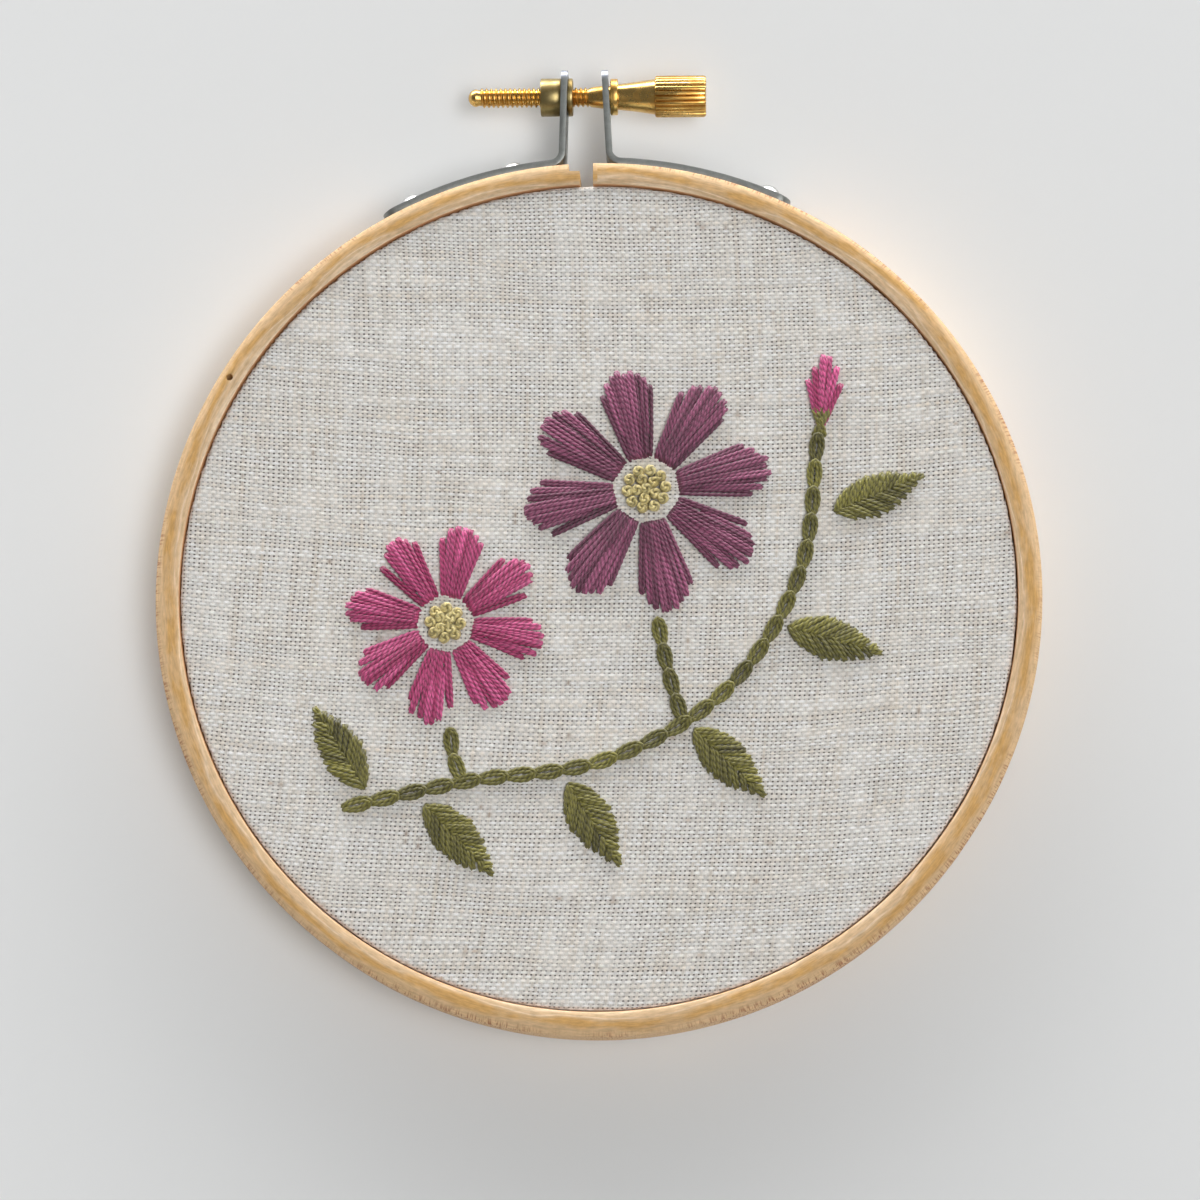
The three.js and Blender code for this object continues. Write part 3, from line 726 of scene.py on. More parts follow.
def bent_strap(node, wood, metal):
    """Section of the strap swept round the hoop, through the bend and up the upright."""
    strap = STRAPS[node]
    side = strap["side"]
    lean = math.radians(strap["lean"])
    clearance = 0.04 * MM
    middle_z = SCREW_MIDDLE.z
    radius = wood.outer_radius + clearance + metal.strap / 2
    reach = SCREW_MIDDLE.y - HOOP_MIDDLE.y - radius - metal.bend
    bend_x = strap["at_screw"] * MM + reach * math.tan(lean) + metal.bend
    bend_y = math.sqrt((radius + metal.bend) ** 2 - bend_x ** 2)
    bend_middle = HOOP_MIDDLE + Vector((side * bend_x, bend_y, 0))
    foot = math.radians(strap["foot"])
    foot_end = math.atan2(bend_x, bend_y)

    deselect_everything()
    bpy.ops.mesh.primitive_plane_add(size=1)
    piece = named("strap_" + node.split("_")[1])
    turn(math.pi / 2, "Y", (0, 0, 0))
    bpy.ops.transform.resize(value=(1, metal.strap, metal.strap_width))
    bpy.ops.transform.translate(value=HOOP_MIDDLE + Vector((0, radius, middle_z)))
    turn(-side * foot, "Z", HOOP_MIDDLE)
    first = 1.2 * metal.corner / radius
    up = (0, 0, 1)
    sweep(side * first, up, HOOP_MIDDLE, 1)
    sweep(side * (foot - foot_end - first), up, HOOP_MIDDLE, 20)
    sweep(-side * (math.pi / 2 - lean - foot_end), up, bend_middle, 10)
    heading = Vector((-side * math.sin(lean), math.cos(lean), 0))
    base = bend_middle + Vector((-side * math.cos(lean), -math.sin(lean), 0)) * metal.bend
    base.z = middle_z
    rise = (metal.upright_top - base.y) / heading.y
    extrude(heading * rise)
    close_up(piece)

    edit(piece)
    strap_ends = (round_the_hoop(radius, -side * strap["foot"], middle_z), base + heading * rise)

    def at_an_end(face):
        return any((face.calc_center_median() - end).length < 0.1 * MM for end in strap_ends)

    def across_an_end(edge):
        run = edge.verts[1].co - edge.verts[0].co
        return abs(run.z) < 0.1 * MM and any(at_an_end(face) for face in edge.link_faces)

    pick(piece, "EDGE", across_an_end)
    bpy.ops.mesh.bevel(offset=metal.corner, offset_type="OFFSET", segments=8, affect="EDGES")
    leave_edit()
    hole = Vector((side * strap["at_screw"] * MM, SCREW_MIDDLE.y, middle_z))
    cut_away(piece, cutting_drill(strap["hole"] * MM, hole, 4 * metal.strap, (0, math.pi / 2, 0)))
    angles = [angle for angle in RIVET_ANGLES.values() if angle * side < 0]
    drill_for_rivets(piece, angles, metal.shank_radius, radius, 3 * metal.strap, middle_z)
    soften(piece, metal.broken_edge)
    return piece


class HOOP_OT_straps(Operator):
    """Bend the two steel straps with their uprights"""

    bl_idname = "hoop.straps"
    bl_label = "Steel Straps"

    def execute(self, context):
        metal = context.scene.hoop_metal
        deep = tuple(0.72 * part for part in metal.steel)
        # The uprights' ends carry a painted highlight in a brighter, bluer steel
        tip = (metal.upright_top - metal.tip_highlight_length, metal.tip_highlight_steel)
        grain = (900, 900, 9000)
        material = metal_finish("dull_steel", metal.steel, deep, rough=0.42, grain=grain, tip=tip)
        for node in STRAPS:
            piece = bent_strap(node, context.scene.hoop_wood, metal)
            hand_over(piece, "hoop", "steel", material, node)
        return {"FINISHED"}


class HOOP_OT_rivets(Operator):
    """Model one round-headed rivet and set it in each of the four places"""

    bl_idname = "hoop.rivets"
    bl_label = "Rivets"

    def execute(self, context):
        wood = context.scene.hoop_wood
        metal = context.scene.hoop_metal
        deep = tuple(0.8 * part for part in metal.bright_steel)
        grain = (2500, 2500, 2500)
        material = metal_finish("bright_steel", metal.bright_steel, deep, rough=0.24, grain=grain)
        clearance, edge, short_of_bore = 0.07 * MM, 0.06 * MM, 0.5 * MM
        seat = wood.outer_radius + metal.strap + clearance
        shank = metal.strap + wood.wall - short_of_bore

        deselect_everything()
        bpy.ops.mesh.primitive_uv_sphere_add(segments=40, ring_count=20, radius=metal.rivet_radius)
        first = named("rivet_head")
        bpy.ops.transform.resize(value=(1, 1, metal.rivet_height / metal.rivet_radius))
        bpy.ops.mesh.bisect(plane_co=(0, 0, 0), plane_no=(0, 0, 1), clear_inner=True, use_fill=True)
        pick(first, "FACE", lambda face: face.normal.z < -0.9)
        bpy.ops.mesh.inset(thickness=metal.rivet_radius - metal.shank_radius, depth=0)
        extrude((0, 0, -shank))
        select_all()
        turn(-math.pi / 2, "X", (0, 0, 0))
        bpy.ops.transform.translate(value=HOOP_MIDDLE + Vector((0, seat, wood.depth / 2)))
        close_up(first)
        soften(first, edge, 60)
        for node, angle in RIVET_ANGLES.items():
            choose(first)
            bpy.ops.object.duplicate(linked=False)
            rivet = named(node.replace("rivet", "rivet_head"))
            if node in FLAT_RIVETS:
                foot = HOOP_MIDDLE + Vector((0, seat, wood.depth / 2))
                pick(rivet, "VERT", lambda vertex: vertex.co.y > foot.y)
                bpy.ops.transform.resize(value=(1, FLAT_RIVETS[node], 1), center_override=tuple(foot))
            select_all()
            turn(math.radians(angle), "Z", HOOP_MIDDLE)
            leave_edit()
            hand_over(rivet, "hoop", "bright_steel", material, node)
        bpy.data.objects.remove(first, do_unlink=True)
        return {"FINISHED"}


def turned_along_x(name, profile, steps):
    """Turn a profile of (place along X, radius) pairs round the screw's axis."""
    piece = single_vertex(name)
    axis_point = Vector((0, SCREW_MIDDLE.y, SCREW_MIDDLE.z))
    points = [axis_point + Vector((x, radius, 0)) for x, radius in profile]
    bpy.ops.transform.translate(value=points[0])
    for last, point in zip(points, points[1:]):
        extrude(point - last)
    select_all()
    sweep(2 * math.pi, (1, 0, 0), axis_point, steps)
    return close_up(piece)


def rounded_corner(x, radius, round_radius, across, outwards):
    """Three points round a profile's outer corner. Across is the way its flat faces along X."""
    share = 1 - math.sqrt(0.5)
    points = [
        (x, radius - round_radius),
        (x - across * share * round_radius, radius - share * round_radius),
        (x - across * round_radius, radius),
    ]
    return points if outwards else points[::-1]


class HOOP_OT_bush(Operator):
    """Turn the brass bush that the screw runs through"""

    bl_idname = "hoop.bush"
    bl_label = "Brass Bush"

    def execute(self, context):
        metal = context.scene.hoop_metal
        left, right = BUSH_LOW.x, BUSH_HIGH.x
        radius = (BUSH_HIGH.z - BUSH_LOW.z) / 2
        bore, neck = 1.32 * MM, 1.88 * MM
        edge, groove_edge = 0.16 * MM, 0.05 * MM
        upright = -STRAPS["lug_left"]["at_screw"] * MM
        half = metal.strap / 2 + 0.06 * MM
        profile = [
            (left + edge, bore),
            (left, bore + edge),
            *rounded_corner(left, radius, edge, -1, True),
            *rounded_corner(upright - half, radius, groove_edge, 1, False),
            (upright - half, neck),
            (upright + half, neck),
            *rounded_corner(upright + half, radius, groove_edge, -1, True),
            *rounded_corner(right, radius, edge, 1, False),
            (right, bore + edge),
            (right - edge, bore),
            (left + edge, bore),
        ]
        piece = turned_along_x("brass_bush", profile, 72)
        smooth(piece, 35)
        grain = (14000, 300, 300)
        material = metal_finish("aged_brass", metal.aged, metal.aged_deep, rough=0.34, grain=grain)
        hand_over(piece, "hoop", "brass", material, "nut")
        return {"FINISHED"}


class HOOP_OT_screw(Operator):
    """Turn the thumb screw, flute its knob and wind its thread"""

    bl_idname = "hoop.screw"
    bl_label = "Thumb Screw"

    def execute(self, context):
        metal = context.scene.hoop_metal
        tip, end = SCREW_LOW.x, SCREW_HIGH.x
        thread_start, thread_end = tip + 1.4 * MM, -1.35 * MM
        dome = [(0, 0), (0.07, 0.42), (0.27, 0.76), (0.58, 1.0), (0.95, 1.12)]
        flange, neck, knob = 1.53 * MM, 2.45 * MM, 7.1 * MM
        flange_radius, shank_radius = 2.28 * MM, 1.42 * MM
        thin, thick = 1.6 * MM, 2.22 * MM
        edge, flange_edge = 0.3 * MM, 0.12 * MM
        tip_length, taper, run_out, shoulder = 1.35 * MM, 0.02 * MM, 0.5 * MM, 1.1 * MM
        dish, dish_rim, dish_floor = 0.12 * MM, 1.7 * MM, 1.5 * MM
        neck_line = [(neck + share * (knob - neck), thin + (thick - thin) * share ** 1.2)
                     for share in np.linspace(0, 1, 9)]
        profile = [
            *[(tip + back * MM, radius * MM) for back, radius in dome],
            (tip + tip_length, metal.root),
            (thread_end, metal.root + taper),
            (thread_end + run_out, metal.crest),
            (flange - shoulder, shank_radius),
            (flange, shank_radius),
            *rounded_corner(flange, flange_radius, flange_edge, -1, True),
            *rounded_corner(neck, flange_radius, flange_edge, 1, False),
            *neck_line,
            *rounded_corner(knob, metal.knob_radius, edge, -1, True),
            *rounded_corner(end, metal.knob_radius, edge, 1, False),
            (end, dish_rim),
            (end - dish, dish_floor),
            (end - dish, 0),
        ]
        per_flute = 6
        steps = per_flute * metal.flutes
        piece = turned_along_x("thumb_screw", profile, steps)
        self.flute(piece, metal, knob, steps, per_flute)
        self.wind_thread(piece, metal, thread_start, thread_end)
        smooth(piece, 32)
        grain = (16000, 300, 300)
        material = metal_finish("turned_brass", metal.brass, metal.brass_deep, rough=0.26, grain=grain)
        hand_over(piece, "screw", "brass", material, "screw")
        return {"FINISHED"}

    def flute(self, piece, metal, knob, steps, per_flute):
        """Draw every sixth row of the knob in to a groove, and its neighbours a little."""
        edit(piece)

        def row(vertex):
            angle = math.atan2(vertex.co.z - SCREW_MIDDLE.z, vertex.co.y - SCREW_MIDDLE.y)
            return round(angle * steps / (2 * math.pi)) % per_flute

        def on_rim(vertex):
            reach = math.hypot(vertex.co.z - SCREW_MIDDLE.z, vertex.co.y - SCREW_MIDDLE.y)
            return vertex.co.x > knob - 0.01 * MM and reach > metal.knob_radius - 0.35 * MM

        axis_point = (0, SCREW_MIDDLE.y, SCREW_MIDDLE.z)
        groove, beside = 0.22 * MM, 0.04 * MM
        for rows, depth in (((0,), groove), ((1, per_flute - 1), beside)):
            share = 1 - depth / metal.knob_radius
            pick(piece, "VERT", lambda vertex: on_rim(vertex) and row(vertex) in rows)
            bpy.ops.transform.resize(value=(1, share, share), center_override=axis_point)
        leave_edit()

    def wind_thread(self, piece, metal, start, end):
        """Wind a ridge along the shank and join it to the screw."""
        pitch = (end - start) / metal.turns
        sunk = metal.root - 0.06 * MM
        ridge = single_vertex("thread_ridge", (start, SCREW_MIDDLE.y, SCREW_MIDDLE.z))
        bpy.ops.transform.translate(value=(0, sunk, 0))
        flank, land = 0.42 * pitch, 0.1 * pitch
        up = Vector((flank, metal.crest - sunk, 0))
        flat = Vector((land, 0, 0))
        down = Vector((flank, sunk - metal.crest, 0))
        for step in (up, flat, down, -(up + flat + down)):
            extrude(step)
        select_all()
        bpy.ops.mesh.remove_doubles(threshold=0.002 * MM)
        leave_edit()
        finish_with(ridge, "SCREW", axis="X", angle=2 * math.pi, screw_offset=pitch, iterations=metal.turns,
                    steps=36, render_steps=36, use_normal_calculate=True)
        bpy.ops.object.transform_apply(location=True, rotation=False, scale=False)
        bpy.ops.object.mode_set(mode="EDIT")
        select_all()
        bpy.ops.mesh.fill_holes(sides=0)
        close_up(ridge)
        choose(piece)
        ridge.select_set(True)
        bpy.ops.object.join()


# Stitching


def distance_run(path):
    """Distance covered along a path at each of its points."""
    return np.concatenate([[0], np.cumsum(np.linalg.norm(np.diff(path, axis=0), axis=1))])


def over_face(plan, height):
    """Places in metres of points of the face in millimetres, at heights over the cloth."""
    return np.column_stack([plan, height]) * MM + np.array([HOOP_MIDDLE.x, HOOP_MIDDLE.y, FACE_Z])


class Floss:
    """Strands that are gathered into one mesh, with their dye and their run along the thread."""

    SIDES = 8
    PLY_DEPTH = 0.17
    FLATTEN = 0.86

    def __init__(self, sizes, seed):
        self.sizes = sizes
        self.random = np.random.default_rng(SEED + seed)
        self.points, self.faces, self.runs, self.dyes = [], [], [], []
        self.count = 0

    def lay(self, path, dye, radius=None):
        """Lay one strand along a path of points in metres."""
        radius = radius or self.sizes.radius
        heading = np.gradient(path, axis=0)
        heading /= np.linalg.norm(heading, axis=1, keepdims=True)
        side = np.stack([heading[:, 1], -heading[:, 0], np.zeros(len(path))], axis=1)
        side /= np.maximum(np.linalg.norm(side, axis=1, keepdims=True), 1e-9)
        over = np.cross(side, heading)
        run = distance_run(path)
        turns = 2 * np.pi * np.arange(self.SIDES) / self.SIDES
        twisted = self.random.uniform(0, 1) + run / self.sizes.twist
        lobes = np.cos(2 * turns[None, :] - 4 * np.pi * twisted[:, None])
        reach = (radius * (1 + self.PLY_DEPTH * lobes))[..., None]
        across = np.cos(turns)[None, :, None] * side[:, None]
        above = self.FLATTEN * np.sin(turns)[None, :, None] * over[:, None]
        self.points.append((path[:, None] + reach * (across + above)).reshape(-1, 3))
        tints = self.random.normal(1, 0.06) * np.ones((len(path) * self.SIDES, 1))
        self.dyes.append(np.clip(tints * np.asarray(dye)[None, :3], 0, 1))
        self.skin(run / MM, twisted)

    def skin(self, run, twisted):
        """Faces of the strand laid last, with the run and the place round the twist at each corner."""
        sides, rings = self.SIDES, len(run)
        ring = np.arange(rings - 1)[:, None]
        k = np.arange(sides)[None, :]
        corners = ((ring, k), (ring + 1, k), (ring + 1, k + 1), (ring, k + 1))
        quads = [self.count + at * sides + column % sides for at, column in corners]
        self.faces.extend(np.stack(quads, axis=-1).reshape(-1, 4).tolist())
        pairs = [(run[at] + 0.0 * column, column / sides - twisted[at]) for at, column in corners]
        pairs = [np.stack(pair, axis=-1) for pair in pairs]
        self.runs.append(np.stack(pairs, axis=2).reshape(-1, 2))
        first = list(range(self.count, self.count + sides))
        last = list(range(self.count + (rings - 1) * sides, self.count + rings * sides))
        self.faces.extend([first, last[::-1]])
        for end in (0, -1):
            self.runs.append(np.stack([np.full(sides, run[end]), k[0] / sides - twisted[end]], axis=1))
        self.count += rings * sides

    def straight(self, start, stop, dye, crown=0.0):
        """Straight stitch of two strands between points of the face in millimetres, sunk into the cloth."""
        start, stop = np.asarray(start, float), np.asarray(stop, float)
        length = np.linalg.norm(stop - start)
        heading = (stop - start) / length
        across = np.array([heading[1], -heading[0]])
        rings = max(6, int(length * MM / self.sizes.station) + 2)
        share = np.linspace(0, 1, rings)
        spacing = self.sizes.spacing / MM
        for offset in (-spacing / 2, spacing / 2):
            pinch = 0.55 + 0.45 * np.clip(np.minimum(share, 1 - share) * length / 1.2, 0, 1)
            bow = self.random.normal(0, 0.05) * np.sin(np.pi * share)
            plan = start + np.outer(share * length, heading) + np.outer(offset * pinch + bow, across)
            lift = crown * np.sin(np.pi * share) ** 0.8 + self.random.uniform(0, 0.05)
            self.lay(self.on_face(plan, share * length, length, lift), dye)

    def on_face(self, plan, run, length, lift, dive=0.5):
        """Places of a strand that lies on the face and goes through it at both ends."""
        radius = self.sizes.radius / MM
        to_end = np.clip(np.minimum(run, length - run) / dive, 0, 1)
        settled = to_end * to_end * (3 - 2 * to_end)
        height = (radius * 0.8 + lift) * settled - 0.3 * (1 - settled)
        return over_face(plan, height)

    def dye_between(self, dark, light, share):
        share = min(1, max(0, share + self.random.normal(0, 0.16)))
        return np.asarray(dark) * (1 - share) + np.asarray(light) * share

    def piece(self, name, slot, material, *nodes):
        """Make the mesh of all strands and hand it over."""
        mesh = bpy.data.meshes.new(name)
        mesh.from_pydata(np.concatenate(self.points).tolist(), [], self.faces)
        strand = mesh.uv_layers.new(name="Strand")
        strand.data.foreach_set("uv", np.concatenate(self.runs).ravel())
        dyes = np.concatenate(self.dyes)
        dyes = np.concatenate([dyes, np.ones((len(dyes), 1))], axis=1)
        mesh.color_attributes.new("dye", "FLOAT_COLOR", "POINT").data.foreach_set("color", dyes.ravel())
        mesh.shade_smooth()
        piece = bpy.data.objects.new(name, mesh)
        bpy.context.scene.collection.objects.link(piece)
        return hand_over(piece, "hoop", slot, material, *nodes)


def placed(points, at, degrees):
    """Points of a stitch block turned and moved to their place on the face."""
    angle = math.radians(degrees)
    x, y = np.asarray(points, float).T
    cosine, sine = math.cos(angle), math.sin(angle)
    return np.stack([at[0] + x * cosine - y * sine, at[1] + x * sine + y * cosine], axis=1)


def fan_of_stitches(length, width, outline, lanes):
    """Straight stitches that fan out from the narrow end of a block to its outline."""
    lane_share = (2 * np.arange(lanes) + 1) / lanes - 1
    widest = outline[:, 1].argmax()
    for lane, share in enumerate(lane_share):
        far_full = min(abs(share) * outline[:, 1].max(), outline[:, 1].max() * 0.97)
        far = np.interp(far_full, outline[widest:, 1][::-1], outline[widest:, 0][::-1])
        start = np.array([0.0, share * outline[0, 1] * width / 2])
        stop = np.array([far * length, share * outline[:, 1].max() * width / 2 * 0.95])
        yield lane, share, start, stop


def stitch_fan(floss, block, at, degrees, lanes, dark, light, crown):
    """Lay a fan of stitches: every other one starts further out, in a lighter dye."""
    for lane, share, start, stop in fan_of_stitches(*block, lanes):
        late = 0.0 if lane % 2 == 0 else 0.2 + 0.1 * floss.random.random()
        start = start + (stop - start) * late
        stop = stop + floss.random.normal(0, 0.14, 2)
        tone = 0.25 + 0.45 * (lane % 2) + 0.2 * (1 - abs(share))
        dye = floss.dye_between(dark, light, tone)
        ends = placed([start, stop], at, degrees)
        floss.straight(*ends, dye, crown=crown * (1 - 0.6 * share * share))


class HOOP_OT_petals(Operator):
    """Stitch the petals of both blossoms"""

    bl_idname = "hoop.petals"
    bl_label = "Petals"

    def execute(self, context):
        sizes = context.scene.hoop_floss
        dyes = {
            "plum": (sizes.plum_dark, sizes.plum_light),
            "magenta": (sizes.magenta_dark, sizes.magenta_light),
        }
        lanes = {"plum": 9, "magenta": 7}
        for seed, (name, blossom) in enumerate(BLOSSOMS.items()):
            floss = Floss(sizes, seed)
            for petal in range(PETALS):
                angle = blossom["turn"] + 360 * petal / PETALS
                root = placed([(blossom["start"], 0)], blossom["at"], angle)[0]
                block = (blossom["length"], blossom["width"], PETAL_OUTLINE)
                stitch_fan(floss, block, root, angle, lanes[name], *dyes[name], crown=0.3)
            nodes = [f"petal_{name}_{petal + 1}" for petal in range(PETALS)]
            floss.piece(f"{name}_petals", f"{name}_thread", floss_finish(f"{name}_floss"), *nodes)
        return {"FINISHED"}


class HOOP_OT_hearts(Operator):
    """Knot the hearts of both blossoms"""

    bl_idname = "hoop.hearts"
    bl_label = "Knotted Hearts"

    def execute(self, context):
        sizes = context.scene.hoop_floss
        material = floss_finish("straw_floss")
        for seed, (name, blossom) in enumerate(BLOSSOMS.items()):
            floss = Floss(sizes, 10 + seed)
            for spot in self.knot_places(blossom["heart"]):
                dye = floss.dye_between(sizes.straw_dark, sizes.straw_light, 0.5)
                self.knot(floss, np.add(blossom["at"], spot), dye)
            floss.piece(f"{name}_knots", "straw_thread", material, f"heart_{name}")
        return {"FINISHED"}

    def knot_places(self, radius):
        """One knot in the middle and rings of knots round it."""
        knot = 0.76
        yield (0.0, 0.0)
        for reach in (0.5 * (radius - knot) + 0.2, radius - knot + 0.3):
            count = int(2 * math.pi * reach / (1.78 * knot))
            for k in range(count):
                angle = 2 * math.pi * (k + 0.5 * reach) / count
                yield (reach * math.cos(angle), reach * math.sin(angle))

    def knot(self, floss, at, dye):
        """French knot: two and a half winds of the thread, ending in the middle."""
        winds = 2.6
        share = np.linspace(0, 1, 34)
        angle = floss.random.uniform(0, 2 * np.pi) + 2 * np.pi * winds * share
        reach = 0.47 * (1 - 0.12 * share) * np.clip((1 - share) / 0.12, 0.12, 1)
        height = 0.2 + 0.62 * share - 0.5 * np.clip((share - 0.88) / 0.12, 0, 1) ** 2
        plan = np.column_stack([reach * np.cos(angle), reach * np.sin(angle)]) + at
        floss.lay(over_face(plan, height), dye, radius=1.12 * floss.sizes.radius)


class HOOP_OT_leaves(Operator):
    """Stitch the leaves in fishbone stitch, and the bud"""

    bl_idname = "hoop.leaves"
    bl_label = "Leaves and Bud"

    def execute(self, context):
        sizes = context.scene.hoop_floss
        floss = Floss(sizes, 20)
        for x, y, angle in LEAVES:
            self.fishbone(floss, (x, y), angle, sizes)
        nodes = [f"leaf_{k + 1}" for k in range(len(LEAVES))]
        floss.piece("fishbone_leaves", "olive_thread", floss_finish("leaf_floss"), *nodes)
        floss = Floss(sizes, 21)
        block = (BUD["length"], BUD["width"], LEAF_OUTLINE)
        lanes = 6
        stitch_fan(floss, block, BUD["at"], BUD["angle"], lanes, sizes.magenta_dark, sizes.magenta_light,
                   crown=0.25)
        floss.piece("bud_stitches", "magenta_thread", floss_finish("bud_floss"), "bud")
        return {"FINISHED"}

    def fishbone(self, floss, at, degrees, sizes):
        """Slanted stitches from alternate edges, each ending just past the vein."""
        pitch, slant, past = 0.92, 2.9, 0.28
        bare_tip, bare_base, tip_stitch = 0.9, 0.7, 3.2
        tip = placed([(LEAF_LENGTH, 0), (LEAF_LENGTH - tip_stitch, 0)], at, degrees)
        floss.straight(*tip, floss.dye_between(sizes.olive_dark, sizes.olive_light, 0.5))
        count = int((LEAF_LENGTH - bare_tip - bare_base) / pitch)
        for k in range(count):
            along = LEAF_LENGTH - bare_tip - k * pitch
            for side in (1, -1):
                edge_along = along - 0.25 * (side < 0)
                half = np.interp(edge_along / LEAF_LENGTH, *LEAF_OUTLINE.T) * LEAF_WIDTH / 2
                vein = max(0.2, edge_along - slant * min(1, half / 1.6))
                edge_x = edge_along + floss.random.normal(0, 0.08)
                edge_y = side * (half + floss.random.normal(0, 0.06))
                ends = placed([(edge_x, edge_y), (vein, -side * past)], at, degrees)
                tone = 0.3 + 0.3 * (side > 0)
                dye = floss.dye_between(sizes.olive_dark, sizes.olive_light, tone)
                floss.straight(*ends, dye, crown=0.1 + 0.06 * (k % 2))


def smooth_line(points):
    """Even samples of a smooth line through points, with the distance run at each."""
    points = np.asarray(points, float)
    ends = np.vstack([2 * points[0] - points[1], points, 2 * points[-1] - points[-2]])
    samples = []
    for before, start, stop, after in zip(ends, ends[1:], ends[2:], ends[3:]):
        gaps = [np.linalg.norm(b - a) ** 0.5 for a, b in ((before, start), (start, stop), (stop, after))]
        leave = (start - before) / gaps[0] - (stop - before) / (gaps[0] + gaps[1])
        leave += (stop - start) / gaps[1]
        arrive = (stop - start) / gaps[1] - (after - start) / (gaps[1] + gaps[2]) + (after - stop) / gaps[2]
        t = np.linspace(0, 1, 60)[:, None]
        weights = (2 * t**3 - 3 * t**2 + 1, t**3 - 2 * t**2 + t, 3 * t**2 - 2 * t**3, t**3 - t**2)
        samples.append(weights[0] * start + weights[1] * leave * gaps[1] + weights[2] * stop
                       + weights[3] * arrive * gaps[1])
    line = np.vstack(samples)
    keep = np.concatenate([[True], np.linalg.norm(np.diff(line, axis=0), axis=1) > 1e-6])
    line = line[keep]
    return line, distance_run(line)


class HOOP_OT_stem(Operator):
    """Stitch the stem and its stalks in chain stitch, and the sepals of the bud"""

    bl_idname = "hoop.stem"
    bl_label = "Chain-Stitched Stem"

    def execute(self, context):
        sizes = context.scene.hoop_floss
        floss = Floss(sizes, 30)
        for points in (STEM, *STALKS):
            line, run = smooth_line(points)
            links = max(1, round(run[-1] / LINK_LENGTH))
            for link in range(links):
                dye = floss.dye_between(sizes.olive_dark, sizes.olive_light, 0.45)
                self.link(floss, line, run, run[-1] * link / links, run[-1] / links, dye)
        for spread in (-26, 0, 26):
            foot, tip = placed([(-1.6, 0), (2.6, 0)], BUD["at"], BUD["angle"] + spread)
            dye = floss.dye_between(sizes.olive_dark, sizes.olive_light, 0.5)
            floss.straight(foot, tip, dye, crown=0.25)
        floss.piece("chain_stem", "olive_thread", floss_finish("stem_floss"), "stem")
        return {"FINISHED"}

    def link(self, floss, line, run, start, length, dye):
        """Loop of two strands that opens from its start, and closes round over the start of the next."""
        reach = 1.14 * length
        spacing = floss.sizes.spacing / MM
        widest = LINK_WIDTH / 2 - floss.sizes.radius / MM
        half = np.linspace(0, 1, 20)
        share = np.concatenate([half, half[-2::-1]])
        way = np.concatenate([np.ones(len(half)), -np.ones(len(half) - 1)])
        for strand in range(2):
            inner = strand * spacing
            opening = np.sqrt(np.maximum(np.sin(np.pi * share**1.45), 0))
            aside = way * np.maximum(0.1, (widest - inner)) * opening + way * 0.08 * (1 - share)
            along = np.clip(start + share * (reach - 0.7 * inner), 0, run[-1])
            beyond = start + share * (reach - 0.7 * inner) - along
            middle = np.stack([np.interp(along, run, line[:, axis]) for axis in (0, 1)], axis=1)
            probe = np.clip(along + 0.05, 0.1, run[-1])
            ends = [[np.interp(at, run, line[:, axis]) for axis in (0, 1)] for at in (probe - 0.1, probe)]
            ahead = np.subtract(ends[1], ends[0]).T
            ahead /= np.linalg.norm(ahead, axis=1, keepdims=True)
            across = np.stack([ahead[:, 1], -ahead[:, 0]], axis=1)
            plan = middle + beyond[:, None] * ahead + aside[:, None] * across
            thread = distance_run(plan)
            lift = 0.04 + 0.3 * np.clip((share - 0.75) / 0.25, 0, 1)
            floss.lay(floss.on_face(plan, thread, thread[-1], lift, dive=0.7), dye)


# Cloth


def blurred(values, reach, axis):
    """Running mean along one axis, taken twice."""
    kernel = np.ones(reach) / reach
    for _ in range(2):
        values = np.apply_along_axis(lambda line: np.convolve(line, kernel, "same"), axis, values)
    return values


def evened(values):
    return (values - values.mean()) / values.std()


def between_wefts(values):
    """Means of neighbours along the warp."""
    return (values[:, :-1] + values[:, 1:]) / 2


def amid_four(values):
    """Means of the four crossings round each pit."""
    pairs = between_wefts(values)
    return (pairs[:-1] + pairs[1:]) / 2


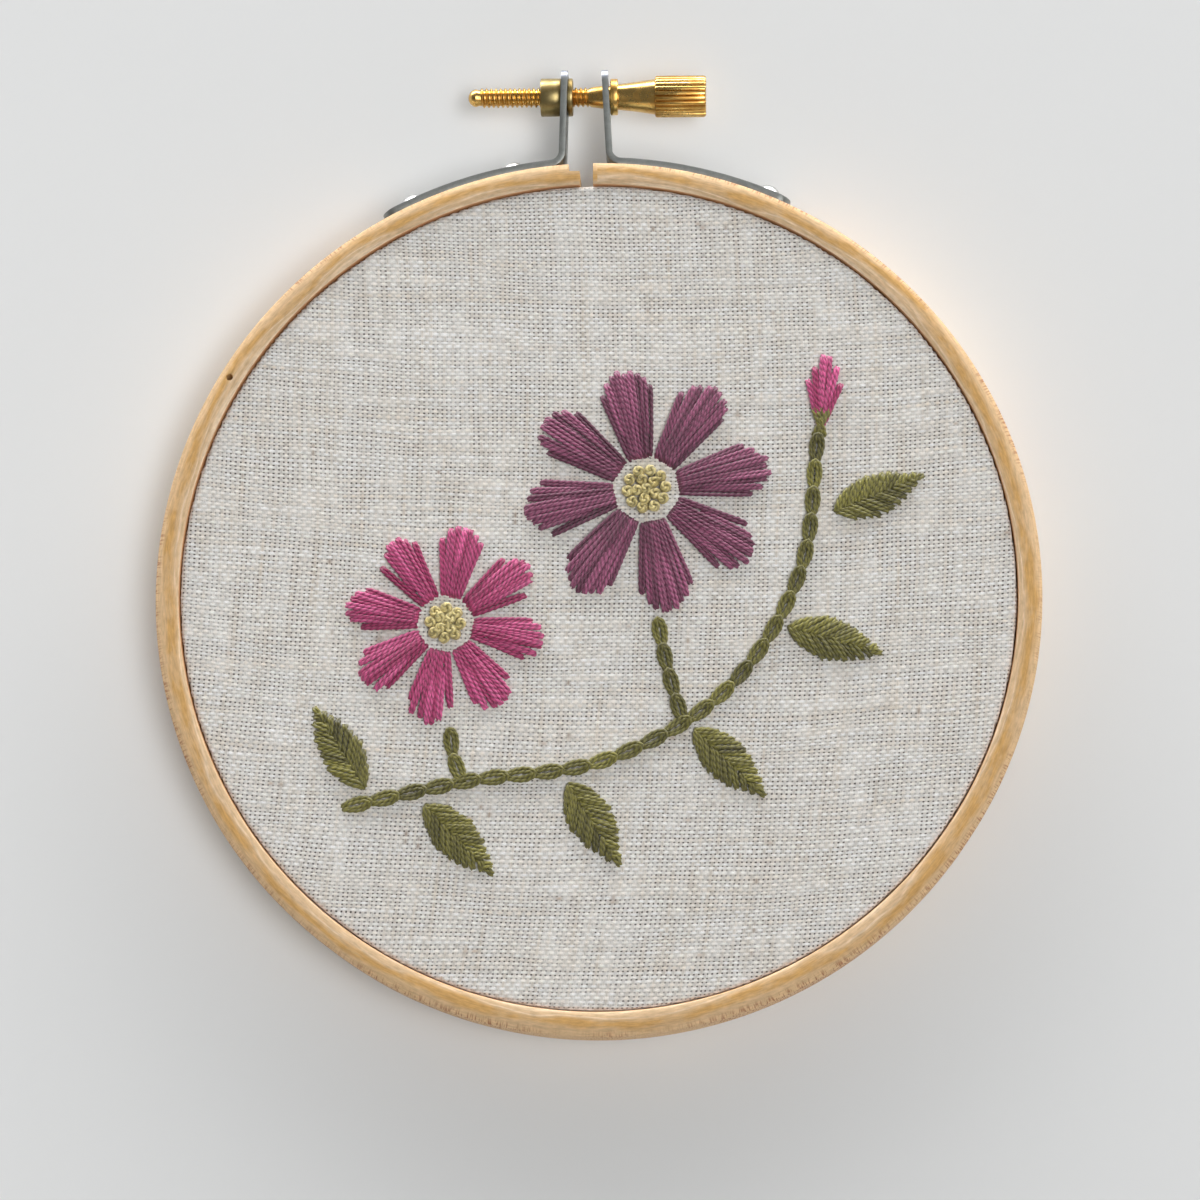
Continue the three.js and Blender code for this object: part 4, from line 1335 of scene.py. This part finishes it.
class Weave:
    """Plain weave of three kinds of point: crossings, warp between two wefts, pits between four yarns."""

    BOW_ROOM = 7 * MM

    def __init__(self, linen, reach):
        self.linen = linen
        self.random = np.random.default_rng(SEED + 40)
        pitches = (linen.warp_pitch, linen.weft_pitch)
        room = reach + self.BOW_ROOM
        self.shape = tuple(2 * math.ceil(room / pitch) + 3 for pitch in pitches)
        self.warp_thick = self.thickness(1, 0.3)
        self.weft_thick = self.thickness(0, 0.5)
        self.warp_aside = self.wander(1, 0.06, 0.16) * linen.warp_pitch
        self.weft_aside = self.wander(0, 0.09, 0.26) * linen.weft_pitch
        self.warp_number, self.weft_number = np.indices(self.shape)
        self.warp_over = (self.warp_number + self.weft_number) % 2 == 0

    def grain(self, reach, axis):
        """Even random values, smoothed along the yarns of one set."""
        return evened(blurred(self.random.normal(0, 1, self.shape), reach, axis))

    def own(self, axis):
        """One random value for each yarn of a set."""
        values = self.random.normal(0, 1, self.shape[1 - axis])
        return values[:, None] if axis == 1 else values[None, :]

    def thickness(self, axis, own):
        """Uneven spinning: each yarn has its own thickness, with slubs along it."""
        return own * self.own(axis) + 0.6 * self.grain(9, axis) + 0.5 * self.grain(3, axis)

    def wander(self, axis, alone, together):
        """Sideways drift of the yarns in pitches, each alone and together with its neighbours."""
        shared = blurred(blurred(self.random.normal(0, 1, self.shape), 21, axis), 9, 1 - axis)
        return alone * self.grain(7, axis) + together * evened(shared)

    def gathered(self, crossings, between, pits):
        """Values of all points in one row."""
        return np.concatenate([part.reshape(-1, *part.shape[2:]) for part in (crossings, between, pits)])

    def spread(self, crossings):
        """Values of all points from those of the crossings."""
        return self.gathered(crossings, between_wefts(crossings), amid_four(crossings))

    def places(self):
        """Yarns bowed and skewed by the stretching, and drifting on their way."""
        linen = self.linen
        x = (self.warp_number - self.shape[0] // 2) * linen.warp_pitch + self.warp_aside
        y = (self.weft_number - self.shape[1] // 2) * linen.weft_pitch + self.weft_aside
        bowed_x = x + linen.warp_skew * y - y * y / (2 * linen.warp_bend)
        bowed_y = y + linen.weft_skew * x + x * x / (2 * linen.weft_bend)
        return self.spread(bowed_x), self.spread(bowed_y)

    def yarn_coordinates(self):
        return np.stack([self.spread(self.warp_number), self.spread(self.weft_number)], axis=1)

    def openness(self):
        """How far the four yarns round each pit leave it open."""
        crowding = amid_four(self.warp_thick) + amid_four(self.weft_thick)
        return np.clip(0.66 - 0.4 * crowding, 0.04, 1.0)

    def heights(self):
        top = np.where(self.warp_over, self.warp_thick, self.weft_thick + 0.35)
        crossings = self.linen.crest * (1 + 0.22 * top)
        between = np.full(between_wefts(top).shape, 0.1 * self.linen.crest)
        return self.gathered(crossings, between, -self.linen.pit * self.openness())

    def yarn_colours(self, axis):
        """Colour of each yarn at each crossing, before it is shaded."""
        linen = self.linen
        tint = np.clip(0.14 + 0.08 * self.own(axis) + 0.14 * self.grain(13, axis), 0, 0.8)[..., None]
        speck = np.clip((self.grain(3, axis) - 2.5) * 0.8, 0, 0.65)[..., None]
        colour = np.asarray(linen.bright) * (1 - tint) + np.asarray(linen.straw) * tint
        colour = colour * (1 - speck) + np.asarray(linen.speck) * speck
        return colour * self.random.normal(1, 0.05, self.shape)[..., None]

    def colours(self):
        """Colours of all points, with the openness of the pits, which sets their painted shade, as their
        fourth part.
        """
        warp, weft = self.yarn_colours(1), self.yarn_colours(0)
        # Painted light: weft crossings are brightened as a painted highlight, warp crossings darkened as
        # painted shade, and warp running under gets the shaded yarn's painted shade
        over = np.where(self.warp_over[..., None], 0.8 * warp, 1.14 * weft)
        between = between_wefts(warp) * np.asarray(self.linen.shaded) / np.asarray(self.linen.bright)
        colours = np.clip(self.gathered(over, between, amid_four(over)), 0, 1)
        half_open = 0.5
        fixed = np.full(over.shape[:2], half_open), np.full(between.shape[:2], half_open)
        return np.column_stack([colours, self.gathered(*fixed, self.openness())])

    def fans(self):
        """Six triangles round each pit: its four crossings and the warp on either side."""
        crossing = np.arange(math.prod(self.shape)).reshape(self.shape)
        between = crossing.size + np.arange(crossing[:, 1:].size).reshape(crossing[:, 1:].shape)
        pits = crossing[1:, 1:].shape
        pit = crossing.size + between.size + np.arange(math.prod(pits)).reshape(pits)
        ring = [
            crossing[:-1, :-1], crossing[1:, :-1], between[1:],
            crossing[1:, 1:], crossing[:-1, 1:], between[:-1],
        ]
        fans = [np.stack([pit, ring[k], ring[(k + 1) % 6]], axis=-1) for k in range(6)]
        return np.stack(fans, axis=2).reshape(-1, 6, 3)


class HOOP_OT_cloth(Operator):
    """Weave the linen, draw it over the inner hoop and turn its edge down"""

    bl_idname = "hoop.cloth"
    bl_label = "Linen"

    STITCHING = [
        "plum_petals",
        "magenta_petals",
        "plum_knots",
        "magenta_knots",
        "fishbone_leaves",
        "bud_stitches",
        "chain_stem",
    ]

    def execute(self, context):
        linen = context.scene.hoop_linen
        self.linen = linen
        past_solid, past_turn, seam = 0.16 * MM, 0.1 * MM, 0.15 * MM
        self.flat_end = CLOTH_HIGH.x + past_solid - linen.rim_round
        self.top = FACE_Z - linen.crest
        quarter = linen.rim_round * math.pi / 2
        face_reach = self.flat_end + quarter + past_turn
        skirt_reach = self.flat_end + quarter + self.top - linen.rim_round - linen.edge

        weave = Weave(linen, face_reach)
        x, y = weave.places()
        points, normals = self.drawn_over(x, y)
        points = points + normals * weave.heights()[:, None]
        fans = weave.fans()
        whole = (np.hypot(x, y) <= face_reach)[fans].all(axis=(1, 2))
        used, faces = np.unique(fans[whole], return_inverse=True)
        faces = faces.reshape(-1, 3)
        sheet = {
            "points": points[used],
            "colours": weave.colours()[used],
            "uv": weave.yarn_coordinates()[used],
            "faces": faces.tolist(),
        }
        self.add_skirt(sheet, faces, face_reach + seam, skirt_reach)
        piece = self.make(sheet)
        hand_over(piece, "hoop", "linen", linen_finish(linen), "cloth")
        stitching = [bpy.data.objects[name] for name in self.STITCHING]
        return {"FINISHED"}

    def drawn_over(self, x, y):
        """Places and normals of flat points once the cloth is drawn over the rim."""
        reach = np.hypot(x, y)
        away = np.stack([x, y], axis=1) / np.maximum(reach, 1e-9)[:, None]
        rim_round = self.linen.rim_round
        angle = np.clip((reach - self.flat_end) / rim_round, 0, np.pi / 2)
        radius = np.where(reach < self.flat_end, reach, self.flat_end + rim_round * np.sin(angle))
        fall = np.maximum(reach - self.flat_end - rim_round * np.pi / 2, 0)
        z = self.top - rim_round * (1 - np.cos(angle)) - fall
        plan = away * radius[:, None] + np.asarray(HOOP_MIDDLE.xy)
        normals = np.column_stack([away * np.sin(angle)[:, None], np.cos(angle)])
        return np.column_stack([plan, z]), normals

    def add_skirt(self, sheet, faces, start, stop):
        """Plain band down the side, zipped to the stepped edge of the woven face."""
        columns, rows = 360, 7
        angle = np.linspace(-np.pi, np.pi, columns, endpoint=False)
        reach = np.linspace(start, stop, rows)
        x, y = np.outer(reach, np.cos(angle)).ravel(), np.outer(reach, np.sin(angle)).ravel()
        points, _ = self.drawn_over(x, y)
        first = len(sheet["points"])
        uv = np.stack([x / self.linen.warp_pitch, y / self.linen.weft_pitch], axis=1)
        # The skirt is a mix of bright and shaded yarn, and gets part of the pits' painted shade
        part_open = 0.3
        colour = np.asarray(self.linen.bright) * 0.55 + np.asarray(self.linen.shaded) * 0.45
        plain = [*colour, part_open]
        edge = self.edge_in_order(sheet["points"], faces)
        sheet["points"] = np.vstack([sheet["points"], points])
        sheet["uv"] = np.vstack([sheet["uv"], uv])
        sheet["colours"] = np.vstack([sheet["colours"], np.tile(plain, (len(points), 1))])
        for row in range(rows - 1):
            for k in range(columns):
                a, b = first + row * columns + k, first + row * columns + (k + 1) % columns
                sheet["faces"].append([a, a + columns, b + columns, b])
        ring = list(range(first, first + columns))
        sheet["faces"].extend(self.zipped(sheet["points"], edge, ring))

    def turns(self, points, numbers):
        """Angles of a row of vertices, without a jump on the way round."""
        place = points[numbers] - np.asarray(HOOP_MIDDLE)
        return np.unwrap(np.arctan2(place[:, 1], place[:, 0]))

    def edge_in_order(self, points, faces):
        """Vertices along the woven face's edge, walked from the lowest angle."""
        sides = {tuple(side) for k in range(3) for side in faces[:, [k, (k + 1) % 3]].tolist()}
        after = {a: b for a, b in sides if (b, a) not in sides}
        place = points - np.asarray(HOOP_MIDDLE)
        walk = [min(after, key=lambda number: math.atan2(place[number, 1], place[number, 0]))]
        while after[walk[-1]] != walk[0]:
            walk.append(after[walk[-1]])
        return walk

    def zipped(self, points, edge, ring):
        """Triangles between two closed rows of vertices, walked by angle."""
        edge_turns, ring_turns = self.turns(points, edge), self.turns(points, ring)
        triangles = []
        i = j = 0
        while i < len(edge) or j < len(ring):
            a, b = edge[i % len(edge)], ring[j % len(ring)]
            next_edge = edge_turns[(i + 1) % len(edge)] + 2 * np.pi * ((i + 1) // len(edge))
            next_ring = ring_turns[(j + 1) % len(ring)] + 2 * np.pi * ((j + 1) // len(ring))
            if j >= len(ring) or (i < len(edge) and next_edge <= next_ring):
                triangles.append([a, b, edge[(i + 1) % len(edge)]])
                i += 1
            else:
                triangles.append([a, b, ring[(j + 1) % len(ring)]])
                j += 1
        return triangles

    def make(self, sheet):
        mesh = bpy.data.meshes.new("linen_sheet")
        mesh.from_pydata(sheet["points"].tolist(), [], sheet["faces"])
        corners = np.zeros(len(mesh.loops), dtype=np.int32)
        mesh.loops.foreach_get("vertex_index", corners)
        mesh.uv_layers.new(name="Weave").data.foreach_set("uv", sheet["uv"][corners].ravel())
        layer = mesh.color_attributes.new("yarn_colour", "FLOAT_COLOR", "POINT")
        layer.data.foreach_set("color", sheet["colours"].ravel())
        mesh.shade_smooth()
        piece = bpy.data.objects.new("linen_sheet", mesh)
        bpy.context.scene.collection.objects.link(piece)
        edit(piece)
        select_all()
        bpy.ops.mesh.normals_make_consistent(inside=False)
        leave_edit()
        return piece


# Stage


# Parts of a direction into the room: where each glow is dark, and where it is full
GLOW_EDGES = {
    "overhead": {"X": (-0.04, 0.4), "Y": (0.4, -0.3), "Z": (0.74, 0.9)},
    "beyond": {"Y": (0.3, 0.95), "Z": (0.5, 0.2)},
    "behind": {"Y": (-0.3, -0.9), "Z": (0.6, 0.3)},
}
HORIZON_EDGES = (0.1, 0.3)
FLOOR_SIZE = 6.0
SENSOR_WIDTH = 36.0


class HOOP_OT_stage(Operator):
    """Lay the floor, set the lights and aim the camera"""

    bl_idname = "hoop.stage"
    bl_label = "Floor, Lights and Camera"

    def execute(self, context):
        stage = context.scene.hoop_stage
        self.floor(stage)
        self.room(context, stage)
        self.window(stage)
        self.camera(context, stage)
        return {"FINISHED"}

    def floor(self, stage):
        deselect_everything()
        bpy.ops.mesh.primitive_plane_add(size=FLOOR_SIZE, location=(0, 0, 0))
        floor = bpy.context.object
        floor.name = "floor"
        material, tree, shader = new_material("pale_floor")
        place = put(tree, "ShaderNodeTexCoord").outputs["Object"]
        mottle = noise(tree, scaled(tree, place, 9, 9, 9), detail=2)
        tints = [(0.3, [0.985 * part for part in stage.floor]), (0.7, stage.floor)]
        colour = ramp(tree, mottle, tints)
        feed(tree, shader, {"Base Color": colour, "Roughness": 0.8, "Specular IOR Level": 0.2})
        floor.data.materials.append(material)
        floor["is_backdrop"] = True

    def room(self, context, stage):
        """Dim walls, a soft patch beside the camera, a glow beyond the screw and a fainter one behind."""
        world = bpy.data.worlds.new("studio_room")
        world.use_nodes = True
        tree = world.node_tree
        direction = put(tree, "ShaderNodeTexCoord").outputs["Generated"]
        parts = put(tree, "ShaderNodeSeparateXYZ", {0: direction}).outputs
        light = band(tree, parts["Z"], *HORIZON_EDGES, stage.horizon + stage.dim, stage.dim)
        for name, edges in GLOW_EDGES.items():
            glow = getattr(stage, name)
            for axis, (dark, full) in edges.items():
                glow = sum_up(tree, "MULTIPLY", band(tree, parts[axis], dark, full), glow)
            light = sum_up(tree, "ADD", light, glow)
        feed(tree, tree.nodes["Background"], {"Color": (1, 1, 1, 1), "Strength": light})
        context.scene.world = world
        context.scene.view_settings.view_transform = "Standard"

    def window(self, stage):
        deselect_everything()
        place = HOOP_MIDDLE + Vector(stage.window_place)
        aim = (HOOP_MIDDLE - place).to_track_quat("-Z", "Y").to_euler()
        bpy.ops.object.light_add(type="AREA", location=place, rotation=aim)
        window = bpy.context.object
        window.name = "window"
        window.data.shape = "RECTANGLE"
        window.data.size = stage.window_width
        window.data.size_y = stage.window_height
        window.data.energy = stage.window_power

    def camera(self, context, stage):
        deselect_everything()
        aim = HOOP_MIDDLE + Vector(stage.aim)
        back = Vector(stage.lean).normalized()
        right = Vector((0, 1, 0)).cross(back).normalized()
        up = back.cross(right)
        turned = Matrix((right, up, back)).transposed().to_euler()
        bpy.ops.object.camera_add(location=aim + back * stage.distance, rotation=turned)
        camera = bpy.context.object
        camera.name = "photo_camera"
        camera.data.lens = stage.lens
        camera.data.sensor_width = SENSOR_WIDTH
        camera.data.clip_start = 0.01
        camera.data.clip_end = 20
        context.scene.camera = camera


OPERATORS = [
    HOOP_OT_outer_hoop,
    HOOP_OT_inner_hoop,
    HOOP_OT_straps,
    HOOP_OT_rivets,
    HOOP_OT_bush,
    HOOP_OT_screw,
    HOOP_OT_petals,
    HOOP_OT_hearts,
    HOOP_OT_leaves,
    HOOP_OT_stem,
    HOOP_OT_cloth,
    HOOP_OT_stage,
]


class HOOP_PT_panel(Panel):
    """Pieces of the hoop, in the order they are made"""

    bl_idname = "HOOP_PT_panel"
    bl_label = "Embroidery Hoop"
    bl_space_type = "VIEW_3D"
    bl_region_type = "UI"
    bl_category = "Hoop"

    def draw(self, context):
        for group in GROUPS:
            box = self.layout.box()
            box.label(text=group.replace("hoop_", "").title())
            sizes = getattr(context.scene, group)
            for key in GROUPS[group].__annotations__:
                box.prop(sizes, key)
        for operator in OPERATORS:
            self.layout.operator(operator.bl_idname)


GROUPS = {
    "hoop_wood": WoodSizes,
    "hoop_linen": LinenSizes,
    "hoop_floss": FlossSizes,
    "hoop_metal": MetalSizes,
    "hoop_stage": StageSizes,
}
CLASSES = [*GROUPS.values(), *OPERATORS, HOOP_PT_panel]


def register():
    for cls in CLASSES:
        bpy.utils.register_class(cls)
    for key, group in GROUPS.items():
        setattr(bpy.types.Scene, key, PointerProperty(type=group))


def unregister():
    for key in GROUPS:
        delattr(bpy.types.Scene, key)
    for cls in reversed(CLASSES):
        bpy.utils.unregister_class(cls)


def main():
    register()
    for operator in OPERATORS:
        family, name = operator.bl_idname.split(".")
        getattr(getattr(bpy.ops, family), name)()
    boxes = {"cad": CAD_BOX, "visual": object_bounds()}
    {key: [list(corner) for corner in box] for key, box in boxes.items()}


if __name__ == "__main__":
    main()
